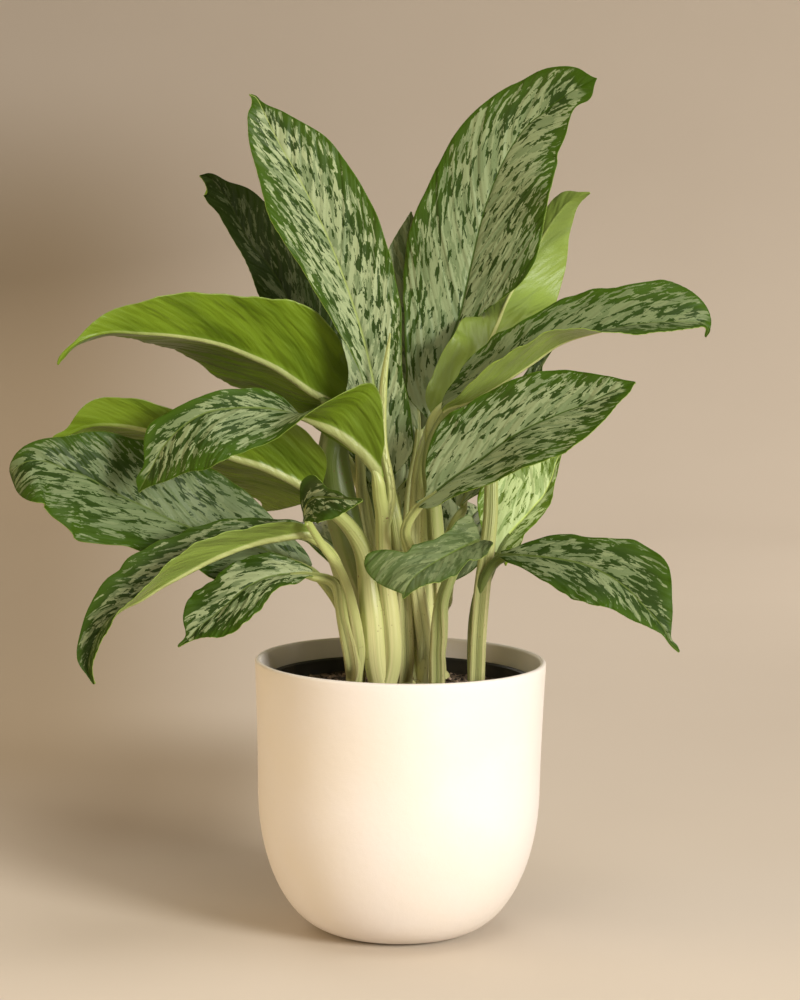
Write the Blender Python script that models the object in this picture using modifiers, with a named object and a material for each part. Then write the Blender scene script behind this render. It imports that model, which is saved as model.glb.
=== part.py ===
"""A potted Chinese evergreen: a glazed cachepot, a plastic nursery pot, soil, eight leafy shoots
and their leaves. Metres, +Z up, with the origin under the middle of the cachepot's foot and the
side that faces the viewer towards -Y. Leaf and stem sizes are given in millimetres."""

from dataclasses import dataclass

import bmesh
import bpy
import numpy as np

MM = 0.001
OBJECT_NAME = "potted_chinese_evergreen"
GAP = 0.0003

# Cachepot
POT_HEIGHT = 0.189
POT_RADIUS = 0.100
POT_WAIST_HEIGHT = 0.100
POT_WAIST_RADIUS = 0.0972
POT_FOOT_RADIUS = 0.038
POT_WALL = 0.004
POT_FLOOR = 0.006
POT_BELLY_FULLNESS = 2.2
POT_FLARE = 1.5
POT_RIM_FALL = 0.6
POT_RIM_FLAT = 0.55
POT_INNER_FOOT_STEP = 0.002
POT_SIDES = 40
BELLY_STEPS = 8
FLARE_STEPS = 3

# Nursery pot
NURSERY_RIM_HEIGHT = 0.176
NURSERY_RIM_RADIUS = 0.0925
NURSERY_LIP = 0.007
NURSERY_LIP_STEP = 0.0018
NURSERY_BASE_HEIGHT = 0.015
NURSERY_BASE_RADIUS = 0.0612
NURSERY_WALL = 0.0013
NURSERY_SIDES = 36
DRAIN_HOLES = 6
DRAIN_RADIUS = 0.005
DRAIN_RING_RADIUS = 0.042
DRAIN_SIDES = 12

# Soil
SOIL_EDGE_HEIGHT = 0.1655
SOIL_MIDDLE_HEIGHT = 0.1700
SOIL_BUMP = 0.0008
SOIL_BUMPS_ROUND = 5.0
SOIL_BUMP_TWIST = 90.0
SOIL_RINGS = 6
SOIL_SIDES = 36
HOLE_DEPTH = 0.016
HOLE_SIDES = 16

# Leaves and stems
LEAF_LENGTH_STEPS = 12
LEAF_HALF_STEPS = 3
BLADE_THICKNESS = 0.0008
MIDRIB_THICKNESS = 0.0026
SLIMMEST_HALF_WIDTH = 0.0012
PETIOLE_STEPS = 8
FINE_STEPS = 24
STALK_INSET = 0.4
STALK_RISE = 2.8
BLADE_GAP = 0.001
FOOT_ABOVE_SOIL = 0.006
ROW_EASING = 0.75
LOOK_AHEAD = 0.02
RIPPLE_SHIFT = 0.37
WIDTH_PLACES = (0.0, 0.04, 0.12, 0.25, 0.4, 0.55, 0.7, 0.82, 0.92, 0.97, 1.0)
OVAL_OUTLINE = (0.06, 0.35, 0.62, 0.88, 1.0, 0.97, 0.82, 0.58, 0.28, 0.11, 0.03)

# Working allowances
CUT_ALLOWANCE = 0.002
NEAR = 0.0001
WELD = 0.00001
TINY = 1e-9
SMOOTH_ANGLE = 35.0
TUBE_ROUNDNESS = 2


@dataclass
class Shoot:
    """One leafy shoot: where its foot stands, and how thick the foot is, in millimetres."""
    x: float
    y: float
    radius: float


@dataclass
class Leaf:
    """One leaf in millimetres and degrees; lists run from the blade's base to its tip.

    The half widths of a blade's two halves are given at WIDTH_PLACES, in shares of its length.
    """
    shoot: str
    petiole: list
    midrib: list
    facing: list
    left_width: tuple
    right_width: tuple
    petiole_radius: tuple = (5.5, 4.5, 3.0)
    left_fold: tuple = (20, 20)
    right_fold: tuple = (20, 20)
    left_curl: float = 0.0
    right_curl: float = 0.0
    wave: tuple = (2.0, 2.5, 0.1)


def oval(widest):
    """Return the half widths of a plain oval blade from its greatest half width."""
    return tuple(widest * share for share in OVAL_OUTLINE)


SHOOTS = {
    "stems_left": Shoot(-30, -10, 8.5),
    "stems_centre_left": Shoot(-12, -18, 9.5),
    "stems_centre": Shoot(2, 3, 8.5),
    "stems_centre_right": Shoot(19, 20, 9.5),
    "stem_front": Shoot(27, -22, 7.0),
    "stems_right": Shoot(52, -2, 7.0),
    "stems_back_left": Shoot(-16, 40, 8.0),
    "stems_back_right": Shoot(36, 42, 8.0),
}

LEAVES = {
    "leaf_tall_left": Leaf(
        shoot="stems_centre", petiole_radius=(6, 5.5, 3.5),
        petiole=[(-1, 2, 202), (-4, -10, 259)],
        midrib=[(-10, -18, 316), (-19, -13, 371), (-28, -6, 409), (-41, 1, 447), (-53, 7, 476),
                (-71, 12, 512), (-89, 14, 543), (-98, 13, 561), (-103, 11, 570), (-107, 8, 572)],
        facing=[(.3, -.95, .1)],
        left_width=(2.5, 5, 8, 11, 27, 36, 41, 28, 17, 9, 1.2),
        right_width=(2.5, 16, 21, 20, 31, 35, 35, 29, 12, 1.2, 1.2),
        left_fold=(35, 35, 32, 25, 10), right_fold=(22, 20, 15, 12), wave=(2, 3, .1)),
    "leaf_tall_right": Leaf(
        shoot="stems_centre_right", petiole_radius=(7, 6, 4),
        petiole=[(16, 26, 198), (12, 24, 268), (12, 24, 317)],
        midrib=[(19, 26, 352), (26, 36, 391), (37, 44, 421), (44, 49, 453), (53, 54, 493),
                (63, 56, 522), (72, 56, 540), (83, 54, 555), (94, 51, 564), (106, 47, 574),
                (119, 43, 582), (129, 40, 587)],
        facing=[(-.3, -.93, .15), (-.3, -.93, .15), (-.2, -.9, .1), (.1, -.95, -.2)],
        left_width=(2.5, 17, 24, 38, 47, 44, 38, 28, 21, 12, 1.2),
        right_width=(2.5, 1.2, 3, 8, 48, 51, 44, 31, 11, 10, 1.2),
        left_fold=(25, 20, 12, 5, 0), right_fold=(10, 14, 20, 26, 30), left_curl=-10,
        wave=(2.5, 4, .3)),
    "leaf_upright_right": Leaf(
        shoot="stems_centre_right", petiole_radius=(6.5, 5.5, 3.5),
        petiole=[(23, 10, 201), (20, 0, 285)],
        midrib=[(22, -10, 356), (32, -8, 372), (44, -4, 389), (55, 2, 401), (64, 16, 419),
                (70, 36, 433), (76, 46, 444), (83, 52, 456), (93, 55, 474), (101, 55, 488),
                (112, 54, 502), (121, 52, 507), (127, 50, 509)],
        facing=[(.45, .8, .3)],
        left_width=(2.5, 1.2, 1.2, 1.2, 19, 32, 26, 16, 8, 3, 1.2),
        right_width=(2.5, 13, 17, 21, 16, 1.2, 1.2, 5, 8, 2, 1.2),
        left_fold=(40, 40, 30, 20), right_fold=(-15, -15, -10, 5, 15, 20), wave=(2, 2.5, .5)),
    "leaf_arching_right": Leaf(
        shoot="stems_centre_right", petiole_radius=(6.5, 5.5, 3),
        petiole=[(27, 0, 202), (21, -15, 287), (17, -21, 330)],
        midrib=[(26, -26, 362), (44, -32, 370), (65, -37, 383), (85, -41, 397), (103, -45, 410),
                (129, -50, 419), (160, -54, 425), (181, -56, 426), (197, -56, 425), (200, -56, 421),
                (198, -55, 416)],
        facing=[(-.5, -.35, .8), (-.3, -.35, .9), (0, -.4, .93), (0, -.5, .88), (.1, -.6, .8),
                (.3, -.6, .75)],
        left_width=(2, 12, 25, 32, 28, 32, 28, 31, 19, 1.2, 1.2),
        right_width=(1.5, 9, 20, 27, 29, 28, 24, 18, 10, 3, 1.5),
        left_fold=(45, 40, 35, 25, 25), right_fold=(45, 49, 54, 33, 20, 18), wave=(1.5, 3, .2)),
    "leaf_broad_front_right": Leaf(
        shoot="stems_centre_right", petiole_radius=(7, 6, 4.5, 3),
        petiole=[(21, -10, 204), (10, -34, 262), (2, -50, 286)],
        midrib=[(10, -56, 302), (21, -59, 311), (34, -62, 322), (51, -66, 334), (67, -70, 347),
                (83, -74, 357), (102, -78, 366), (121, -82, 374), (138, -86, 383), (150, -88, 388)],
        facing=[(-.2, -.85, .45)],
        left_width=(2.5, 1.2, 18, 35, 35, 33, 29, 21, 9, 3, 1.2),
        right_width=(2.5, 12, 17, 25, 33, 40, 38, 27, 13, 7, 1.2),
        left_fold=(15,), right_fold=(35, 30, 25), wave=(1.5, 3, .4)),
    "leaf_low_right": Leaf(
        shoot="stems_right", petiole_radius=(6, 5.5, 3.5),
        petiole=[(50, 0, 196), (51, 0, 224), (55, -5, 243), (61, -12, 258)],
        midrib=[(67, -16, 264), (90, -26, 265), (106, -31, 264), (123, -36, 261), (140, -42, 254),
                (152, -46, 246), (159, -50, 239), (169, -54, 229), (176, -56, 220), (180, -57, 212),
                (186, -58, 206)],
        facing=[(0, -.65, .75), (.1, -.7, .7), (.35, -.7, .6)],
        left_width=(2.5, 3, 9, 17, 19, 31, 28, 14, 2, 2, 1.2),
        right_width=(2.5, 7, 11, 23, 30, 29, 19, 10, 2, 1.2, 1.2),
        left_fold=(25,), right_fold=(12,), right_curl=-20, wave=(1.5, 3, .1)),
    "leaf_inner_right": Leaf(
        shoot="stems_right", petiole_radius=(5, 4, 3),
        petiole=[(52, 5, 195), (55, 10, 230)],
        midrib=[(66, 16, 261), (70, 18, 269), (77, 21, 278), (84, 24, 285), (92, 27, 294),
                (98, 30, 301), (103, 33, 312), (106, 36, 322), (110, 38, 332)],
        facing=[(-.1, -.95, .3)],
        left_width=(2.5, 8, 20, 34, 39, 39, 38, 34, 22, 14, 1.2),
        right_width=(2.5, 4, 12, 10, 10, 9, 4, 3, 2, 1.2, 1.2),
        left_fold=(10,), right_fold=(25,), wave=(1.5, 3, .1)),
    "leaf_hidden_right": Leaf(
        shoot="stems_right", petiole_radius=(6.5, 6.5, 6.5, 4),
        petiole=[(53, -3, 202), (55, -3, 236), (60, 0, 286)],
        midrib=[(62, 8, 338), (71, 16, 355), (82, 24, 372), (89, 29, 383), (95, 32, 392), (102, 34, 403)],
        facing=[(-.1, -.9, .4)],
        left_width=(2.5, 2, 4, 7, 8, 6, 6, 5, 3, 1.2, 1.2),
        right_width=(2.5, 4, 6, 9, 10, 10, 8, 1.2, 1.2, 1.2, 1.2),
        left_fold=(20,), right_fold=(20,), wave=(1, 2.5, .1)),
    "leaf_small_front": Leaf(
        shoot="stem_front", petiole_radius=(6.5, 6, 4.5, 3),
        petiole=[(27, -30, 200), (32, -42, 240), (45, -45, 266), (55, -50, 276)],
        midrib=[(52, -61, 280), (42, -76, 278), (30, -92, 274), (17, -106, 268), (8, -114, 262),
                (3, -119, 255), (1, -122, 249)],
        facing=[(0, -.45, .9), (0, -.5, .87), (-.1, -.6, .75), (-.3, -.8, .5), (-.5, -.85, .2)],
        left_width=(2.5, 10, 14, 17, 14, 18, 15, 11, 6, 3, 1.2),
        right_width=(2.5, 15, 18, 14, 14, 20, 20, 38, 24, 1.2, 1.2),
        left_fold=(10, 0, 0, 0), right_fold=(65, 35, 10, 0, 0), wave=(1, 2.5, .1)),
    "leaf_wide_upper_left": Leaf(
        shoot="stems_centre_left", petiole_radius=(6.5, 6, 5, 3.5),
        petiole=[(-14, -10, 204), (-20, 0, 270), (-28, 16, 335)],
        midrib=[(-48, 20, 360), (-65, 12, 372), (-87, 0, 388), (-105, -10, 397), (-121, -20, 404),
                (-138, -33, 409), (-154, -46, 412), (-174, -60, 414), (-194, -72, 415),
                (-209, -80, 411), (-218, -83, 405), (-224, -84, 398), (-226, -84, 394)],
        facing=[(0, .8, .6)],
        left_width=(2.5, 26, 40, 50, 46, 37, 30, 15, 1.2, 1.2, 1.2),
        right_width=(2.5, 15, 29, 40, 36, 34, 22, 20, 4, 3, 1.2),
        left_fold=(15, 10, 10, 15), right_fold=(15, 20, 35, 35), wave=(2, 3.5, .2)),
    "leaf_twisted_left": Leaf(
        shoot="stems_centre_left", petiole_radius=(7.5, 7, 6, 4.5),
        petiole=[(-9, -20, 204), (-12, -27, 261), (-10, -34, 303)],
        midrib=[(-15, -38, 318), (-25, -44, 333), (-36, -48, 343), (-46, -52, 350), (-57, -56, 356),
                (-71, -60, 362), (-92, -65, 366), (-112, -70, 366), (-130, -75, 363), (-145, -79, 354),
                (-157, -82, 341), (-165, -84, 326), (-173, -84, 311)],
        facing=[(.5, .8, .2), (.4, .88, .25), (.2, .9, .3), (0, .3, .95), (0, -.6, .8),
                (-.05, -.75, .65), (-.1, -.8, .6), (-.2, -.82, .5), (-.3, -.85, .4), (-.35, -.85, .35)],
        left_width=(2.5, 5, 23, 47, 32, 37, 44, 38, 17, 5, 1.2),
        right_width=(2.5, 3, 4, 3, 14, 13, 12, 16, 5, 5, 1.2),
        left_fold=(0, 5, 15), right_fold=(15,), wave=(1.5, 3, .1)),
    "leaf_wide_middle_left": Leaf(
        shoot="stems_centre_left", petiole_radius=(8.5, 8, 6.5, 3.5),
        petiole=[(-15, -24, 199), (-20, -25, 232), (-29, -20, 272)],
        midrib=[(-58, -15, 303), (-69, -18, 310), (-82, -21, 317), (-95, -24, 323), (-114, -28, 329),
                (-133, -31, 337), (-153, -35, 343), (-172, -39, 348), (-189, -42, 351),
                (-208, -44, 351), (-221, -45, 346), (-228, -46, 340), (-231, -46, 332)],
        facing=[(0, .8, .6)],
        left_width=(2.5, 23, 34, 37, 34, 19, 22, 18, 4, 6, 1.2),
        right_width=(2.5, 39, 44, 43, 45, 49, 52, 42, 23, 1.2, 1.2),
        left_fold=(15,), right_fold=(25,), wave=(2, 3, .6)),
    "leaf_long_lower_left": Leaf(
        shoot="stems_left", petiole_radius=(5, 4.5, 3.5, 3),
        petiole=[(-30, -8, 189), (-38, -14, 218), (-48, -22, 238)],
        midrib=[(-62, -22, 254), (-79, -26, 262), (-99, -31, 270), (-126, -38, 278), (-151, -45, 287),
                (-170, -51, 297), (-190, -57, 307), (-208, -63, 318), (-222, -68, 324),
                (-238, -74, 330), (-248, -77, 329), (-256, -75, 322), (-257, -66, 313)],
        facing=[(-.1, -.75, .65), (-.1, -.75, .65), (-.1, -.75, .65), (-.1, -.78, .6), (-.6, -.7, .3)],
        left_width=(2.5, 15, 28, 43, 33, 40, 52, 38, 35, 3, 1.2),
        right_width=(2.5, 10, 18, 35, 46, 43, 34, 18, 7, 2, 1.2),
        left_fold=(12,), right_fold=(20,), wave=(2, 3.5, .1)),
    "leaf_arching_lower_left": Leaf(
        shoot="stems_left", petiole_radius=(6, 5.5, 4.5, 3),
        petiole=[(-31, -20, 191), (-37, -34, 234), (-48, -50, 269)],
        midrib=[(-59, -64, 282), (-83, -74, 281), (-103, -84, 277), (-124, -94, 269), (-140, -101, 261),
                (-157, -108, 252), (-170, -113, 244), (-179, -116, 240), (-188, -119, 233),
                (-195, -122, 223), (-199, -124, 213), (-201, -126, 204), (-200, -127, 197),
                (-197, -127, 191)],
        facing=[(-.1, -.25, .97), (-.1, -.25, .97), (-.1, -.3, .95), (-.2, -.4, .9), (-.5, -.6, .6)],
        left_width=(2, 9, 17, 23, 25, 25, 22, 17, 10, 4, 1.5),
        right_width=(2.5, 9, 14, 20, 26, 27, 22, 12, 7, 1.2, 1.2),
        left_fold=(56, 52, 59, 29, 38), right_fold=(45,), wave=(1, 3, .1)),
    "leaf_small_lower_left": Leaf(
        shoot="stems_left", petiole_radius=(5.5, 5, 4.5, 3),
        petiole=[(-32, -28, 189), (-38, -44, 220), (-45, -61, 250)],
        midrib=[(-59, -70, 257), (-72, -76, 258), (-89, -85, 256), (-102, -91, 250), (-109, -94, 244),
                (-123, -99, 232), (-132, -102, 225), (-138, -104, 218), (-145, -106, 213)],
        facing=[(-.2, -.75, .6)],
        left_width=(2.5, 4, 10, 12, 20, 25, 24, 15, 3, 1.2, 1.2),
        right_width=(2.5, 5, 10, 16, 19, 18, 21, 15, 3, 1.2, 1.2),
        left_fold=(15,), right_fold=(15,), wave=(1.5, 3.5, .1)),
    "leaf_young_left": Leaf(
        shoot="stems_left", petiole_radius=(5, 4.5, 3.5, 2.5),
        petiole=[(-29, -35, 206), (-41, -63, 258)],
        midrib=[(-64, -84, 292), (-64, -90, 303), (-59, -97, 310), (-48, -106, 312), (-37, -115, 312),
                (-26, -123, 312)],
        facing=[(-.9, -.3, .2), (-.5, -.8, .2), (.2, -.9, .4), (.2, -.9, .4)],
        left_width=(2.5, 1.2, 1.2, 7, 15, 6, 4, 1.2, 1.2, 1.2, 1.2),
        right_width=(2.5, 1.2, 9, 14, 17, 19, 23, 17, 8, 3, 1.2),
        left_fold=(15,), right_fold=(15,), wave=(.5, 2, .1)),
    "leaf_dark_back_left": Leaf(
        shoot="stems_back_left", petiole_radius=(6, 5, 4, 3),
        petiole=[(-20, 38, 230), (-27, 37, 296)],
        midrib=[(-50, 40, 343), (-70, 48, 397), (-80, 54, 428), (-93, 58, 452), (-109, 62, 471),
                (-118, 64, 487), (-123, 65, 498), (-130, 64, 507), (-137, 62, 515), (-144, 58, 517)],
        facing=[(.3, -.9, .3)],
        left_width=(2.5, 4, 9, 12, 19, 21, 12, 13, 16, 13, 1.2),
        right_width=(2.5, 9, 18, 26, 29, 27, 30, 21, 7, 3, 1.2),
        left_fold=(20,), right_fold=(20,), wave=(1.5, 3, .3)),
    "leaf_slim_back": Leaf(
        shoot="stems_centre_right", petiole_radius=(6, 5, 4, 3),
        petiole=[(14, 30, 226), (15, 38, 295)],
        midrib=[(11, 50, 343), (4, 60, 398), (-1, 70, 446), (3, 76, 494)],
        facing=[(0, -.95, .3)],
        left_width=oval(22), right_width=oval(22),
        left_fold=(20,), right_fold=(20,), wave=(1, 2.5, .1)),
    "leaf_back_left_high": Leaf(
        shoot="stems_back_left", petiole_radius=(6, 5, 3),
        petiole=[(-10, 45, 220)],
        midrib=[(-8, 52, 296), (-34, 88, 338), (-58, 122, 360), (-80, 152, 356), (-94, 174, 328)],
        facing=[(-.3, .3, .9), (-.1, 0, 1), (-.3, .3, .9), (-.6, .6, .5)],
        left_width=oval(42), right_width=oval(42),
        left_fold=(25,), right_fold=(25,), wave=(2.5, 2.5, .1)),
    "leaf_back_high": Leaf(
        shoot="stems_back_right", petiole_radius=(6, 5, 3),
        petiole=[(28, 44, 230)],
        midrib=[(20, 56, 320), (18, 95, 375), (18, 135, 405), (20, 175, 405), (22, 205, 380)],
        facing=[(0, 0, 1), (0, .2, 1), (0, .5, .8)],
        left_width=oval(45), right_width=oval(45),
        left_fold=(25,), right_fold=(25,), wave=(2.5, 2.5, .3)),
    "leaf_back_right_high": Leaf(
        shoot="stems_back_right", petiole_radius=(6, 5, 3),
        petiole=[(36, 40, 220)],
        midrib=[(40, 44, 290), (62, 78, 330), (84, 112, 350), (100, 140, 350), (112, 160, 335)],
        facing=[(.2, .2, .95), (.3, .2, .9), (.6, .5, .6)],
        left_width=oval(40), right_width=oval(40),
        left_fold=(25,), right_fold=(25,), wave=(2.5, 2.5, .6)),
    "leaf_back_left_low": Leaf(
        shoot="stems_back_left", petiole_radius=(5, 4.5, 3),
        petiole=[(-20, 46, 195)],
        midrib=[(-26, 52, 230), (-50, 82, 258), (-76, 114, 262), (-98, 142, 244), (-112, 160, 214)],
        facing=[(-.3, .2, .95), (-.4, .3, .9), (-.7, .5, .5)],
        left_width=oval(34), right_width=oval(34),
        left_fold=(20,), right_fold=(20,), wave=(2.5, 2.5, .8)),
    "leaf_back_right_low": Leaf(
        shoot="stems_back_right", petiole_radius=(5, 4.5, 3),
        petiole=[(34, 48, 198)],
        midrib=[(34, 58, 235), (46, 95, 270), (58, 130, 278), (70, 162, 262), (78, 185, 230)],
        facing=[(.2, .2, .95), (.2, .4, .9), (.4, .8, .5)],
        left_width=oval(34), right_width=oval(34),
        left_fold=(20,), right_fold=(20,), wave=(2.5, 2.5, .2)),
    "leaf_back_middle": Leaf(
        shoot="stems_back_left", petiole_radius=(5, 4.5, 3),
        petiole=[(-9, 46, 212)],
        midrib=[(-6, 58, 262), (-8, 92, 306), (-6, 128, 322), (0, 160, 312), (6, 180, 284)],
        facing=[(0, .2, 1), (0, .3, .95), (.1, .8, .5)],
        left_width=oval(30), right_width=oval(30),
        left_fold=(20,), right_fold=(20,), wave=(2.5, 2.5, .5)),
    "leaf_back_upright": Leaf(
        shoot="stems_back_left", petiole_radius=(5.5, 5, 4, 3),
        petiole=[(-18, 39, 225), (-28, 34, 292), (-30, 40, 328)],
        midrib=[(-27, 54, 360), (-30, 72, 398), (-36, 94, 433), (-46, 118, 460), (-54, 146, 474)],
        facing=[(0, -.6, .8), (0, -.4, .9), (0, 0, 1)],
        left_width=oval(32), right_width=oval(32),
        left_fold=(20,), right_fold=(20,), wave=(2.5, 2.5, .7)),
}

# A leaf still rolled up, which stands on the centre stems and is joined to them
ROLLED_LEAF_SHOOT = "stems_centre_left"
ROLLED_LEAF = [(-12, -29, 280), (-8, -31, 306), (-14, -29, 341), (-14, -27, 378), (-10, -23, 414)]
ROLLED_LEAF_RADIUS = (3.0, 3.2, 3.0, 2.4, 0.6)


def clear_scene():
    """Remove every object that the file holds at the start."""
    for item in list(bpy.data.objects):
        bpy.data.objects.remove(item, do_unlink=True)


def make_material(name, colour, roughness):
    """Return a Principled material for one kind of surface."""
    material = bpy.data.materials.new(name)
    material.use_nodes = True
    shader = material.node_tree.nodes["Principled BSDF"]
    shader.inputs["Base Color"].default_value = (*colour, 1.0)
    shader.inputs["Roughness"].default_value = roughness
    shader.inputs["Metallic"].default_value = 0.0
    material.diffuse_color = (*colour, 1.0)
    return material


def add_object(name, mesh, collection, material):
    """Put a mesh in the scene as a named object."""
    item = bpy.data.objects.new(name, mesh)
    collection.objects.link(item)
    if material is not None:
        mesh.materials.clear()
        mesh.materials.append(material)
    return item


def evaluated_mesh(item):
    """Return the mesh of an object as its modifiers or its curve shape it."""
    bpy.context.view_layer.update()
    depsgraph = bpy.context.evaluated_depsgraph_get()
    return bpy.data.meshes.new_from_object(item.evaluated_get(depsgraph))


def turned_mesh(name, profile, sides, collection):
    """Turn a profile of (radius, height) points about Z with a Screw modifier."""
    mesh = bpy.data.meshes.new(name)
    body = bmesh.new()
    corners = [body.verts.new((radius, 0.0, height)) for radius, height in profile]
    for first, second in zip(corners, corners[1:]):
        body.edges.new((first, second))
    body.to_mesh(mesh)
    body.free()
    item = add_object(name, mesh, collection, None)
    screw = item.modifiers.new("turn", "SCREW")
    screw.steps = sides
    screw.render_steps = sides
    screw.use_merge_vertices = True
    screw.merge_threshold = WELD
    turned = evaluated_mesh(item)
    bpy.data.objects.remove(item, do_unlink=True)
    return turned


def smooth_mesh(item):
    """Shade an object smooth with sharp edges where it turns sharply."""
    item.data.shade_smooth()
    item.data.set_sharp_from_angle(angle=np.radians(SMOOTH_ANGLE))


def belly(top, foot, radius, foot_radius):
    """Return the rounded lower part of a pot wall, from its widest height down to its foot."""
    power = 2.0 / POT_BELLY_FULLNESS
    turns = np.linspace(0.0, np.pi / 2.0, BELLY_STEPS + 1)
    across = foot_radius + (radius - foot_radius) * np.cos(turns).clip(0.0) ** power
    down = top - (top - foot) * np.sin(turns)
    return list(zip(across.tolist(), down.tolist()))


def flare(radius, height):
    """Return the slightly flared upper part of a pot wall, from the rim down to the waist."""
    shares = np.linspace(1.0, 0.0, FLARE_STEPS + 1)
    across = radius + (POT_RADIUS - POT_WAIST_RADIUS) * shares ** POT_FLARE
    down = POT_WAIST_HEIGHT + (height - POT_WAIST_HEIGHT) * shares
    return list(zip(across.tolist(), down.tolist()))


def cachepot_profile():
    """Return the cachepot's outline, down its outside, under its foot and up its inside."""
    lip = POT_WALL / 2.0
    inner_radius = POT_WAIST_RADIUS - POT_WALL
    shoulder = POT_HEIGHT - lip * POT_RIM_FALL
    outside = flare(POT_WAIST_RADIUS, shoulder)
    outside += belly(POT_WAIST_HEIGHT, 0.0, POT_WAIST_RADIUS, POT_FOOT_RADIUS)[1:]
    inside = belly(POT_WAIST_HEIGHT, POT_FLOOR, inner_radius, POT_FOOT_RADIUS - POT_INNER_FOOT_STEP)
    inside = inside[::-1] + flare(inner_radius, shoulder)[::-1][1:]
    rim_middle = POT_RADIUS - lip
    rim = [(rim_middle - lip * POT_RIM_FLAT, POT_HEIGHT), (rim_middle + lip * POT_RIM_FLAT, POT_HEIGHT)]
    return [(0.0, POT_FLOOR)] + inside + rim + outside + [(0.0, 0.0)]


def nursery_profile():
    """Return the nursery pot's outline: lip, tapered wall, flat base and inside."""
    lip_foot = NURSERY_RIM_HEIGHT - NURSERY_LIP
    wall_radius = NURSERY_RIM_RADIUS - NURSERY_LIP_STEP
    return [
        (0.0, NURSERY_BASE_HEIGHT + NURSERY_WALL),
        (NURSERY_BASE_RADIUS - NURSERY_WALL, NURSERY_BASE_HEIGHT + NURSERY_WALL),
        (wall_radius - NURSERY_WALL, lip_foot),
        (wall_radius - NURSERY_WALL, NURSERY_RIM_HEIGHT),
        (NURSERY_RIM_RADIUS, NURSERY_RIM_HEIGHT),
        (NURSERY_RIM_RADIUS, lip_foot),
        (wall_radius, lip_foot),
        (NURSERY_BASE_RADIUS, NURSERY_BASE_HEIGHT),
        (0.0, NURSERY_BASE_HEIGHT),
    ]


def nursery_inner_radius(height):
    """Return the nursery pot's inner radius at a height."""
    lip_foot = NURSERY_RIM_HEIGHT - NURSERY_LIP
    low = NURSERY_BASE_RADIUS - NURSERY_WALL
    high = NURSERY_RIM_RADIUS - NURSERY_LIP_STEP - NURSERY_WALL
    share = (height - NURSERY_BASE_HEIGHT - NURSERY_WALL) / (lip_foot - NURSERY_BASE_HEIGHT - NURSERY_WALL)
    return low + (high - low) * share


def soil_height(radius):
    """Return the height of the soil at a distance from the middle."""
    edge = nursery_inner_radius(SOIL_EDGE_HEIGHT)
    share = np.minimum(np.asarray(radius) / edge, 1.0)
    return SOIL_MIDDLE_HEIGHT + (SOIL_EDGE_HEIGHT - SOIL_MIDDLE_HEIGHT) * share ** 2


def soil_profile():
    """Return the soil's outline: a low mound on top, then the shape of the nursery pot's inside."""
    edge = nursery_inner_radius(SOIL_EDGE_HEIGHT) - GAP
    bottom_height = NURSERY_BASE_HEIGHT + NURSERY_WALL + GAP
    bottom_radius = nursery_inner_radius(bottom_height) - GAP
    rings = np.linspace(0.0, edge, SOIL_RINGS)
    top = [(float(radius), float(soil_height(radius))) for radius in rings]
    return top + [(bottom_radius, bottom_height), (0.0, bottom_height)]


def make_cachepot(collection, material):
    """Make the glazed outer pot."""
    mesh = turned_mesh("cachepot", cachepot_profile()[::-1], POT_SIDES, collection)
    item = add_object("cachepot", mesh, collection, material)
    outward(item)
    smooth_mesh(item)
    return item


def outward(item):
    """Point the faces of a closed object outwards."""
    body = bmesh.new()
    body.from_mesh(item.data)
    bmesh.ops.remove_doubles(body, verts=body.verts, dist=WELD)
    bmesh.ops.recalc_face_normals(body, faces=body.faces)
    body.to_mesh(item.data)
    body.free()


def upright_cylinder(name, radius, place, foot, top, sides, collection):
    """Add a plain upright cylinder with its foot and its top at the given heights."""
    mesh = bpy.data.meshes.new(name)
    body = bmesh.new()
    bmesh.ops.create_cone(body, cap_ends=True, segments=sides, radius1=radius, radius2=radius,
                          depth=top - foot)
    bmesh.ops.translate(body, verts=body.verts, vec=(0.0, 0.0, (top + foot) / 2.0))
    body.to_mesh(mesh)
    body.free()
    item = add_object(name, mesh, collection, None)
    item.location = (place[0], place[1], 0.0)
    return item


def cut_with(item, cutters):
    """Cut every object of a collection out of an object."""
    cut = item.modifiers.new("cut", "BOOLEAN")
    cut.operation = "DIFFERENCE"
    cut.solver = "EXACT"
    cut.operand_type = "COLLECTION"
    cut.collection = cutters
    item.data = evaluated_mesh(item)
    item.modifiers.clear()


def drop_collection(collection):
    """Remove a collection and the objects in it."""
    for item in list(collection.objects):
        bpy.data.objects.remove(item, do_unlink=True)
    bpy.data.collections.remove(collection)


def new_cutters(name):
    """Add a collection for cutters or for pieces that are about to be joined."""
    cutters = bpy.data.collections.new(name)
    bpy.context.scene.collection.children.link(cutters)
    return cutters


def make_nursery_pot(collection, material):
    """Make the plastic pot that stands in the cachepot, with its drain holes."""
    mesh = turned_mesh("nursery_pot", nursery_profile()[::-1], NURSERY_SIDES, collection)
    item = add_object("nursery_pot", mesh, collection, material)
    outward(item)
    cutters = new_cutters("drain_cutters")
    for index in range(DRAIN_HOLES):
        angle = 2.0 * np.pi * index / DRAIN_HOLES
        place = (DRAIN_RING_RADIUS * np.cos(angle), DRAIN_RING_RADIUS * np.sin(angle))
        upright_cylinder(f"drain_{index}", DRAIN_RADIUS, place, NURSERY_BASE_HEIGHT - CUT_ALLOWANCE,
                         NURSERY_BASE_HEIGHT + NURSERY_WALL + CUT_ALLOWANCE, DRAIN_SIDES, cutters)
    cut_with(item, cutters)
    drop_collection(cutters)
    smooth_mesh(item)
    return item


def shoot_hole_floor(shoot):
    """Return the height of the bottom of a shoot's hole in the soil."""
    return float(soil_height(np.hypot(shoot.x, shoot.y) * MM)) - HOLE_DEPTH


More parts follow.
